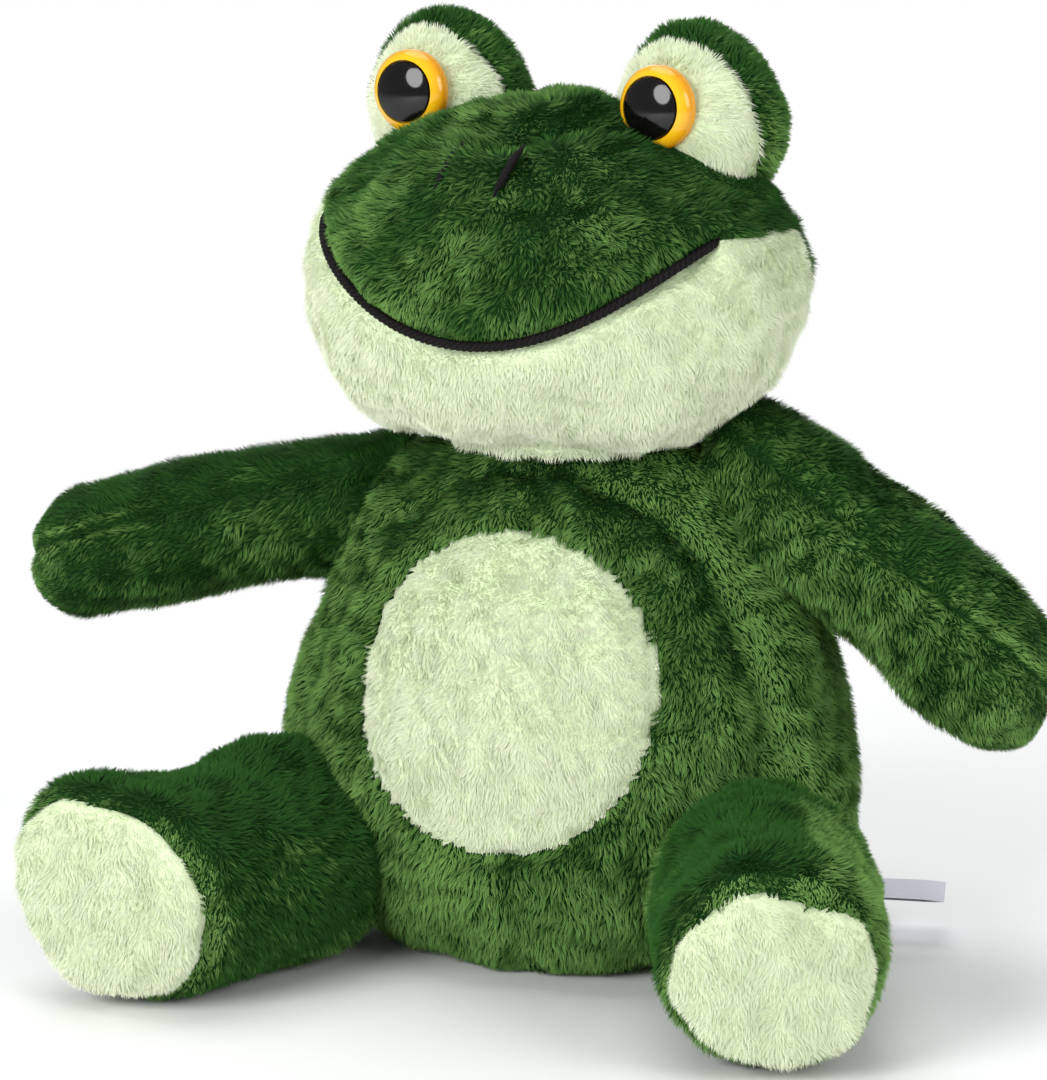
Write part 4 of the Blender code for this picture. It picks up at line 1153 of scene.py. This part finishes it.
def make_head():
    """Crown and muzzle, chin, eye mounds, mouth, nostrils and eyes."""
    smooth = head_form(*HEAD_GRID)
    local = smooth.points
    from_neck = local + HEAD_ORIGIN - NECK
    reach = np.linalg.norm(from_neck, axis=1)
    dish = NECK_RADIUS + NECK_GAP
    inside = reach < dish
    smooth.points = np.where(inside[:, None], from_neck / reach[:, None] * dish - HEAD_ORIGIN + NECK, local)
    smooth.points = head_world(smooth.points)
    cloth = fluffed(smooth, 21, CLOTH_DEPTH, HEAD_LUMPS)
    cloth.points = np.where(inside[:, None], smooth.points, cloth.points)
    local = head_local(cloth.points)
    height = local[:, 2] - HEAD_RISE
    mouth = height - smile_height(local[:, 0])
    forward = local[:, 1] < CHEEK_BACK
    across = np.abs(local[:, 0]) < MOUTH_HALF_WIDTH
    shape = np.where(forward & across, groove(mouth, *MOUTH_SEAM), 0)
    above = forward & across & (mouth > 0)
    shape += np.where(above, LIP_RISE * bell(mouth - LIP_HEIGHT, LIP_WIDTH), 0)
    shape += swell(local, *HEAD_SWELLS)
    cloth.offset(np.where(inside, 0, shape))
    local = head_local(cloth.middles())
    height = local[:, 2] - HEAD_RISE
    corner = smile_height(MOUTH_HALF_WIDTH)
    edge = np.where(np.abs(local[:, 0]) < MOUTH_HALF_WIDTH, smile_height(local[:, 0]), corner)
    cheek = np.clip((height + 12 * MM) / (20 * MM), 0, 1) * (local[:, 0] > 0)
    chin = (height < edge) & (local[:, 1] < CHEEK_BACK - CHEEK_SHIFT * cheek)
    settle = on_body("head")

    def open_air(places):
        hidden = np.linalg.norm(places - NECK, axis=1) < NECK_RADIUS + NECK_BARE
        for mound in MOUNDS:
            hidden |= ((mound.local(places) / (MOUND_SIZE - 2 * MM)) ** 2).sum(1) < 1
        return ~hidden

    def beside_mouth(places):
        spot = head_local(places)
        beside = np.ones(len(places))
        for mound in MOUNDS:
            apart = np.sqrt(((mound.local(places) / MOUND_SIZE) ** 2).sum(1)) - 1
            beside = np.minimum(beside, np.clip(apart * 4, 0.4, 1))
        gap = np.abs(spot[:, 2] - HEAD_RISE - smile_height(spot[:, 0]))
        near = (spot[:, 1] < CHEEK_BACK) & (np.abs(spot[:, 0]) < MOUTH_HALF_WIDTH)
        return beside * np.where(near, np.clip(gap / (5 * MM), 0.3, 1), 1)

    # Painted light on the frog's right side of the head, where the key light falls, and painted shade on its
    # left.
    def tone(places):
        return HEAD_PAINTED_LIGHT - HEAD_RIGHT_PAINTED_LIGHT * head_local(places)[:, 0] / HEAD_HALF_WIDTH

    panel(DARK_FUR, "head", cloth.part(~chin), ["head_skin"], head_comb, 201, settle, open_air,
          shorten=beside_mouth, nap=0.15, patchy=0.9, tone=tone)
    # The chin's pale fur is painted a little darker: painted shade under the head.
    panel(PALE_FUR, "chin", cloth.part(chin), ["chin_panel"], chin_comb, 202, settle, open_air,
          shorten=beside_mouth, tone=level_tone(CHIN_PAINTED_LIGHT))
    fill("head_filling", smooth, "head_stuffing", "head", 22)
    xs = np.linspace(-MOUTH_HALF_WIDTH, MOUTH_HALF_WIDTH, 90)
    line = np.array([muzzle_point(x, smile_height(x), 0) for x in xs])
    depth = swell(line, *HEAD_SWELLS) - CORD_SINK
    line = [head_world(muzzle_point(x, smile_height(x), sunk)) for x, sunk in zip(xs, depth)]
    braid = rope("mouth_braid", line, CORD_RADIUS, CORD_PITCH, CORD_TAPER)
    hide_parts("mouth_cord")
    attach(braid, "head")
    for side, name in ((-1, "right"), (1, "left")):
        steps = np.linspace(-0.5, 0.5, 24) * NOSTRIL_LENGTH
        middle = NOSTRIL_ASIDE + side * NOSTRIL_SPACING / 2
        line = []
        for step in steps:
            across = middle + step * NOSTRIL_LEAN
            line.append(head_world(muzzle_point(across, NOSTRIL_RISE + step, NOSTRIL_STAND_OFF * side)))
        stitch = rope(name + "_nostril_stitch", line, NOSTRIL_RADIUS, NOSTRIL_PITCH, NOSTRIL_TAPER)
        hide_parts(name + "_nostril")
        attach(stitch, "head")
    for mound in MOUNDS:
        make_eye(mound)


def turned_form(profile, origin, axes, sides):
    """A profile of (forward, radius) turned about an eye's axis."""
    cosine, sine = circle(sides)
    rings = []
    for forward, radius in profile:
        ring = np.stack([radius * cosine, np.full(sides, -forward), radius * sine], 1)
        rings.append(origin + ring @ axes.T)
    ends = [origin + np.array((0, -profile[k][0], 0)) @ axes.T for k in (0, -1)]
    return Form(rings, *ends)


def dome_rise(radius):
    return EYE_RIM + EYE_DOME * rounded(radius / EYE_RADIUS, 2)


def make_eye(mound):
    """One mound with its hood, its pale patch and its safety eye."""
    name = mound.name
    side = mound.side
    smooth = mound_form(*MOUND_GRID)
    smooth.points = mound.world(smooth.points)
    cloth = fluffed(smooth, 31 + side, CLOTH_DEPTH * 0.8, MOUND_LUMPS)
    local = mound.local(cloth.points)

    def behind_edge(spot):
        wrap = np.clip(-spot[:, 0] / MOUND_SIZE[0], 0, 1) ** 2 * (HOOD_WRAP if side < 0 else 0)
        return spot[:, 1] + HOOD_EDGE + spot[:, 2] * HOOD_LEAN + wrap

    shape = groove(behind_edge(local), *HOOD_SEAM)
    shape = shape + swell(local, *(RIGHT_MOUND_SWELLS if side < 0 else LEFT_MOUND_SWELLS))
    seat = np.hypot(local[:, 0], local[:, 2] - EYE_LIFT)
    shape = shape + np.where(local[:, 1] < 0, -EYE_DENT * np.exp(-(seat / EYE_DENT_RADIUS) ** 4), 0)
    cloth.offset(shape)
    spot = mound.local(cloth.middles())
    front = behind_edge(spot) < 0
    settle = on_body("head")

    def open_air(places):
        spot = mound.local(places)
        off_eye = (spot[:, 1] > 0) | (np.hypot(spot[:, 0], spot[:, 2] - EYE_LIFT) > EYE_RADIUS - 0.6 * MM)
        return ~inside_head(places, COVERED_BY_HEAD) & off_eye

    def hood_comb(places):
        flow = unit(mound.local(places) * (1, 0, 1))
        return (flow * 0.8 + np.array((0.0, 0.8, -0.2))) @ mound.axes.T

    def patch_comb(places):
        spot = mound.local(places) - np.array((0, 0, EYE_LIFT))
        return (spot * (1, 0, 1)) @ mound.axes.T

    # The hoods' fur is painted lighter: painted light on the mounds' lit hoods.
    panel(DARK_FUR, name + "_eye_hood", cloth.part(~front), [name + "_eye_hood"], hood_comb, 301 + side,
          settle, open_air, length=DARK_PILE * 0.9, tone=level_tone(HOOD_PAINTED_LIGHT))
    panel(PALE_FUR, name + "_eye_patch", cloth.part(front), [name + "_eye_patch"], patch_comb, 311 + side,
          settle, open_air)
    fill(name + "_eye_filling", smooth, name + "_eye_stuffing", "head", 35 + side)
    seat_plane = MOUND_SIZE[1] * rounded(EYE_LIFT / MOUND_SIZE[2], 2) - EYE_SEAT
    origin = mound.world(np.array((0, -seat_plane - EYE_GAP, EYE_LIFT)))
    lip = PUPIL_RADIUS + EYE_GAP
    profile = [(-SHANK_LENGTH, SHANK_RADIUS), (0.0, SHANK_RADIUS), (0.0, EYE_RADIUS - 0.3 * MM),
               (0.3 * MM, EYE_RADIUS)]
    for degrees in np.linspace(0, 50, 12):
        radius = EYE_RADIUS * math.cos(math.radians(degrees))
        if radius > lip:
            profile.append((dome_rise(radius), radius))
    profile += [(dome_rise(lip), lip), (dome_rise(lip) - PUPIL_DEPTH, lip)]
    ring = turned_form(profile, origin, mound.axes, EYE_SIDES)
    iris = form_piece(name + "_eye_amber", ring, amber)
    across = (np.array([v.co for v in iris.data.vertices]) - origin) @ mound.axes
    layer = iris.data.attributes.new("radial", 'FLOAT', 'POINT')
    layer.data.foreach_set("value", (np.hypot(across[:, 0], across[:, 2]) / EYE_RADIUS).astype(np.float32))
    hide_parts(name + "_iris")
    floor = dome_rise(lip) - PUPIL_DEPTH + EYE_GAP
    profile = [(floor, PUPIL_RADIUS), (dome_rise(PUPIL_RADIUS) - 0.2 * MM, PUPIL_RADIUS)]
    for share in np.linspace(0.985, 0.03, 20):
        profile.append((dome_rise(PUPIL_RADIUS * share), PUPIL_RADIUS * share))
    dome = turned_form(profile, origin, mound.axes, EYE_SIDES)
    pupil = form_piece(name + "_eye_black", dome, black)
    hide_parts(name + "_pupil")
    for piece in (iris, pupil):
        piece.data.set_sharp_from_angle(angle=math.radians(40))
        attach(piece, "head")


def make_limb_cloth(limb, seed, rows, sides):
    smooth = limb.form(rows, sides)
    cloth = fluffed(smooth, seed, CLOTH_DEPTH, LIMB_LUMPS)
    local = limb.local(cloth.points)
    return smooth, cloth, local


def make_arm(limb, seed, swells, lit):
    """One arm with a seam along its front and back, where the fur parts."""
    smooth, cloth, local = make_limb_cloth(limb, seed, *ARM_GRID)
    seam = np.array((0, limb.side * math.sin(ARM_SEAM), math.cos(ARM_SEAM)))

    def above_seam(places):
        spot = limb.local(places)
        return spot @ seam + ARM_SEAM_DRIFT * (spot[:, 0] / limb.length - 0.6)

    shape = np.where(local[:, 0] > 0, groove(above_seam(cloth.points), *LIMB_SEAM), 0)
    cloth.offset(shape + swell(cloth.points, *swells))
    whole = cloth.part(np.ones(len(cloth.faces), bool))
    settle = on_limb(limb, *ARM_SEWN)

    def open_air(places):
        return ~inside_torso(places, COVERED_DEPTH) & ~inside_head(places, ARM_COVERED_BY_HEAD)

    def comb(places):
        across = above_seam(places)
        parting = np.sign(across) * bell(across, 5 * MM)
        return limb.axes[0] + np.array((0, 0, -0.45)) + parting[:, None] * (seam @ limb.axes) * 0.9

    def near_tip(places):
        share = limb.local(places)[:, 0] / limb.length
        return np.clip((1.1 - share) * 3.0, 0.55, 1)

    # Painted light and shade: the arm's level, a painted lit line beside the seam where the fur parts near
    # the tip, and painted shade in the seam's crease.
    def tone(places):
        across = above_seam(places)
        near_end = np.clip(limb.local(places)[:, 0] / limb.length * 2.5 - 1.0, 0, 1)
        painted_parting_light = 0.6 * bell(np.abs(across) - 1.6 * MM, 1.3 * MM) * near_end
        return lit + painted_parting_light - 0.35 * bell(across, 1.0 * MM)

    panel(DARK_FUR, limb.name, whole, [limb.name + "_skin"], comb, seed + 50, settle, open_air,
          shorten=near_tip, tone=tone)
    fill(limb.name + "_filling", smooth, limb.name + "_stuffing", limb.name, seed + 5)


def make_leg(limb, seed, swells, trim, outer_painted_light):
    """One leg with its pale sole, trimmed back at its top by a share of its height."""
    smooth, cloth, local = make_limb_cloth(limb, seed, *LEG_GRID)

    def beyond_seam(places):
        spot = limb.local(places)
        above = np.maximum(spot[:, 2], 0) * trim
        outward, down = (np.clip(reach / limb.radius, 0, 1) for reach in (spot[:, 1], -spot[:, 2]))
        corner = outward * down * 6 * MM
        shift = corner * limb.slant - above - spot[:, 2] * SOLE_TILT
        return spot[:, 0] + spot[:, 1] * limb.slant + shift - limb.length + SOLE_WRAP

    rim = np.where(local[:, 0] > limb.length * 0.5, groove(beyond_seam(cloth.points), *LIMB_SEAM), 0)
    cloth.offset(rim + swell(cloth.points, *swells))
    cloth.keep_above(FLOOR_CLEARANCE)
    sole = beyond_seam(cloth.middles()) > 0
    settle = on_limb(limb, *LEG_SEWN)

    def open_air(places):
        return ~inside_torso(places, COVERED_DEPTH) & (places[:, 2] > LEG_FUR_START)

    def comb(places):
        near = bell(beyond_seam(places), 6 * MM)[:, None]
        return near * limb.axes[0] * 0.7 + np.array((0.0, 0.5, -0.7))

    # Painted light and shade: the leg is painted dark with shade, with a painted lit rim of fur along the
    # sole's seam and, on the left leg, painted light toward its outer side and near the hip.
    def tone(places):
        spot = limb.local(places)
        aside = np.clip(spot[:, 1] / (8 * MM), -0.2, 1)
        lap = np.clip(0.9 - spot[:, 0] / (14 * MM), 0, 0.7)
        reach = 3.5 * MM + 5 * MM * np.clip(limb.side * spot[:, 1] * 0.06 / MM, 0, 1)
        return LEG_RIM_PAINTED_LIGHT * bell(beyond_seam(places), reach) + LEG_PAINTED_LIGHT + outer_painted_light * np.maximum(aside, lap)

    def sole_comb(places):
        spot = limb.local(places)
        rim = spot * (0, 1, 1) / limb.radius
        away = unit(rim) * np.clip(np.linalg.norm(rim, axis=1, keepdims=True) - 0.6, 0, 1) * 1.2
        return (away + np.array((0.0, 0.1, -0.7))) @ limb.axes

    def after_seam(places):
        return np.clip(beyond_seam(places) / (3 * MM), 0.5, 1)

    def before_seam(places):
        return np.clip(-beyond_seam(places) / (4.5 * MM), 0.6, 1)

    panel(DARK_FUR, limb.name, cloth.part(~sole), [limb.name + "_skin"], comb, seed + 50, settle, open_air,
          shorten=before_seam, tone=tone, contrast=1.7)
    # The soles' pale fur is painted a little darker: painted shade.
    panel(PALE_FUR, limb.name + "_sole", cloth.part(sole), [limb.name.replace("leg", "sole")], sole_comb,
          seed + 60, settle, open_air, shorten=after_seam, tone=level_tone(SOLE_PAINTED_LIGHT))
    fill(limb.name + "_filling", smooth, limb.name + "_stuffing", limb.name, seed + 5)


def make_label():
    """The bare ribbon label, folded once and sewn into the side seam."""
    length, width, thickness = LABEL_SIZE
    steps, rows = 40, 16
    half = []
    for layer in (1, -1):
        for i in range(steps + 1):
            share = i / steps if layer > 0 else 1 - i / steps
            gap = layer * thickness * 0.35 * min(1.0, (1 - share) * 8 + 0.05)
            half.append((length * share, gap))
    places = []
    for x, gap in half:
        for j in range(rows + 1):
            y = width * (j / rows - 0.5)
            curl = 0.9 * MM * math.sin(x / length * 2.4) + 0.5 * MM * (y / width) * (x / length)
            places.append((x, y, gap + curl))
    places = np.array(places)
    angle = math.radians(LABEL_TURN)
    turn = np.array(Matrix.Rotation(angle, 3, 'Z'))
    root = np.array((LABEL_PLACE[0] * math.cos(angle), LABEL_PLACE[0] * math.sin(angle), 0))
    places = places @ turn.T + root + np.array((0, LABEL_PLACE[1], LABEL_PLACE[2]))
    count = rows + 1
    quads = [(i * count + j, (i + 1) * count + j, (i + 1) * count + j + 1, i * count + j + 1)
             for i in range(len(half) - 1) for j in range(rows)]
    mesh = make_mesh("care_label_ribbon", places, np.array(quads).ravel(), np.full(len(quads), 4))
    piece = add_piece("care_label_ribbon", mesh, label_ribbon)
    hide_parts("care_label")
    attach(piece, "torso")


def make_pouch():
    """The pellet pouch inside the seat, lumpy with what it holds."""
    rows, sides = 24, 60
    rings = []
    for index in range(1, rows):
        angle = math.pi * (index / rows) - math.pi / 2
        size = np.array((POUCH_SIZE[0], POUCH_SIZE[1], POUCH_SIZE[1])) * math.cos(angle)
        height = POUCH_SIZE[2] * (math.sin(angle) + 1) / 2
        rings.append(ellipse_ring(np.array((0, 0, height)), *size, sides))
    form = Form(rings, np.zeros(3), np.array((0, 0, POUCH_SIZE[2])))
    form.offset(waves(form.points, 4.5 * MM, 71) * 0.25 * MM)
    form.points[:, 2] = np.maximum(form.points[:, 2], 0) + FILLING_DEPTH
    piece = form_piece("seat_pouch_bag", form, pouch_cloth)
    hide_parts("seat_pouch")
    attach(piece, "torso")


# ---- stage ----

def seen_white(finish, plain, lit):
    """Mix a lit shader with plain white by a factor."""
    tree = finish.tree
    white = finish.node('ShaderNodeEmission', {}, [("Color", WHITE), ("Strength", 1.0)])
    mix = finish.node('ShaderNodeMixShader', {}, [(0, plain), (1, lit), (2, white.outputs[0])])
    tree.links.new(mix.outputs[0], tree.nodes["Material Output"].inputs["Surface"])


def make_stage():
    """A pale floor that keeps the frog's shadow and turns plain white further out."""
    mesh = bpy.data.meshes.new("floor")
    corners = [(x * FLOOR_HALF_SIZE, y * FLOOR_HALF_SIZE, 0) for x, y in ((-1, -1), (1, -1), (1, 1), (-1, 1))]
    mesh.from_pydata(corners, [], [(0, 1, 2, 3)])
    floor = bpy.data.objects.new("floor", mesh)
    bpy.context.scene.collection.objects.link(floor)
    finish = Finish("pale_floor", Roughness=1.0, Specular_IOR_Level=0.0, Base_Color=rgb(250, 250, 250))
    distance = finish.value('ShaderNodeVectorMath', {"operation": 'LENGTH'}, [(0, finish.place())], "Value")
    far = ((distance - WHITE_FLOOR_START) * WHITE_FLOOR_RATE).clamped()
    seen = finish.value('ShaderNodeLightPath', {}, [], "Is Camera Ray")
    seen_white(finish, far * seen, finish.shader.outputs[0])
    mesh.materials.append(finish.material)


def add_light(name, place, size, level, reach):
    """A round softbox, with the level at which it lights a white surface that faces it at a reach."""
    data = bpy.data.lights.new(name, 'AREA')
    data.shape = 'DISK'
    data.size = size
    data.energy = level * math.pi * math.pi * reach ** 2
    lamp = bpy.data.objects.new(name, data)
    bpy.context.scene.collection.objects.link(lamp)
    lamp.location = place
    aim = Vector(LIGHT_TARGET) - Vector(place)
    lamp.rotation_euler = aim.to_track_quat('-Z', 'Y').to_euler()


def make_world():
    """Even studio light, which only the camera sees as plain white."""
    world = bpy.data.worlds.new("studio")
    bpy.context.scene.world = world
    world.use_nodes = True
    studio = Graph(world.node_tree)
    studio.tree.nodes.clear()
    soft, white = (studio.node('ShaderNodeBackground', {}, [("Color", colour), ("Strength", level)])
                   for colour, level in ((WORLD_COLOUR, WORLD_LEVEL), (WHITE, 1.0)))
    seen = studio.value('ShaderNodeLightPath', {}, [], "Is Camera Ray")
    mix = studio.node('ShaderNodeMixShader', {}, [(0, seen), (1, soft.outputs[0]), (2, white.outputs[0])])
    studio.node('ShaderNodeOutputWorld', {}, [("Surface", mix.outputs[0])])


def make_camera():
    azimuth, pitch = math.radians(CAMERA_AZIMUTH), math.radians(CAMERA_PITCH)
    sine, cosine = math.sin(azimuth), math.cos(azimuth)
    place = Vector((sine * CAMERA_DISTANCE, -cosine * CAMERA_DISTANCE, CAMERA_HEIGHT))
    ahead = Vector((-sine * math.cos(pitch), cosine * math.cos(pitch), -math.sin(pitch)))
    right = Vector((cosine, sine, 0))
    upward = right.cross(ahead)
    data = bpy.data.cameras.new("photo_camera")
    camera = bpy.data.objects.new("photo_camera", data)
    bpy.context.scene.collection.objects.link(camera)
    camera.matrix_world = Matrix.Translation(place) @ Matrix((right, upward, -ahead)).transposed().to_4x4()
    data.sensor_width = SENSOR
    data.lens = SENSOR * FOCAL_PIXELS / FRAME_HEIGHT
    data.shift_x = (FRAME_WIDTH / 2 - PRINCIPAL_POINT[0]) / FRAME_HEIGHT
    data.shift_y = (PRINCIPAL_POINT[1] - FRAME_HEIGHT / 2) / FRAME_HEIGHT
    bpy.context.scene.camera = camera


amber = amber_finish()
black = pupil_finish()
washer = washer_finish()
for node in ("left_eye_washer", "right_eye_washer"):
    carried = frame["nodes"][node]
    carried.data.materials.clear()
    carried.data.materials.append(washer)

make_torso()
make_head()
make_arm(RIGHT_ARM, 401, RIGHT_ARM_SWELLS, RIGHT_ARM_PAINTED_LIGHT)
make_arm(LEFT_ARM, 421, LEFT_ARM_SWELLS, LEFT_ARM_PAINTED_LIGHT)
make_leg(RIGHT_LEG, 501, RIGHT_LEG_SWELLS, 0.0, 0.0)
make_leg(LEFT_LEG, 521, LEFT_LEG_SWELLS, LEFT_SOLE_TRIM, LEFT_LEG_OUTER_PAINTED_LIGHT)
make_label()
make_pouch()
make_stage()
make_world()
make_camera()
for light in LIGHTS:
    add_light(*light)

bpy.context.scene.view_settings.view_transform = 'Standard'
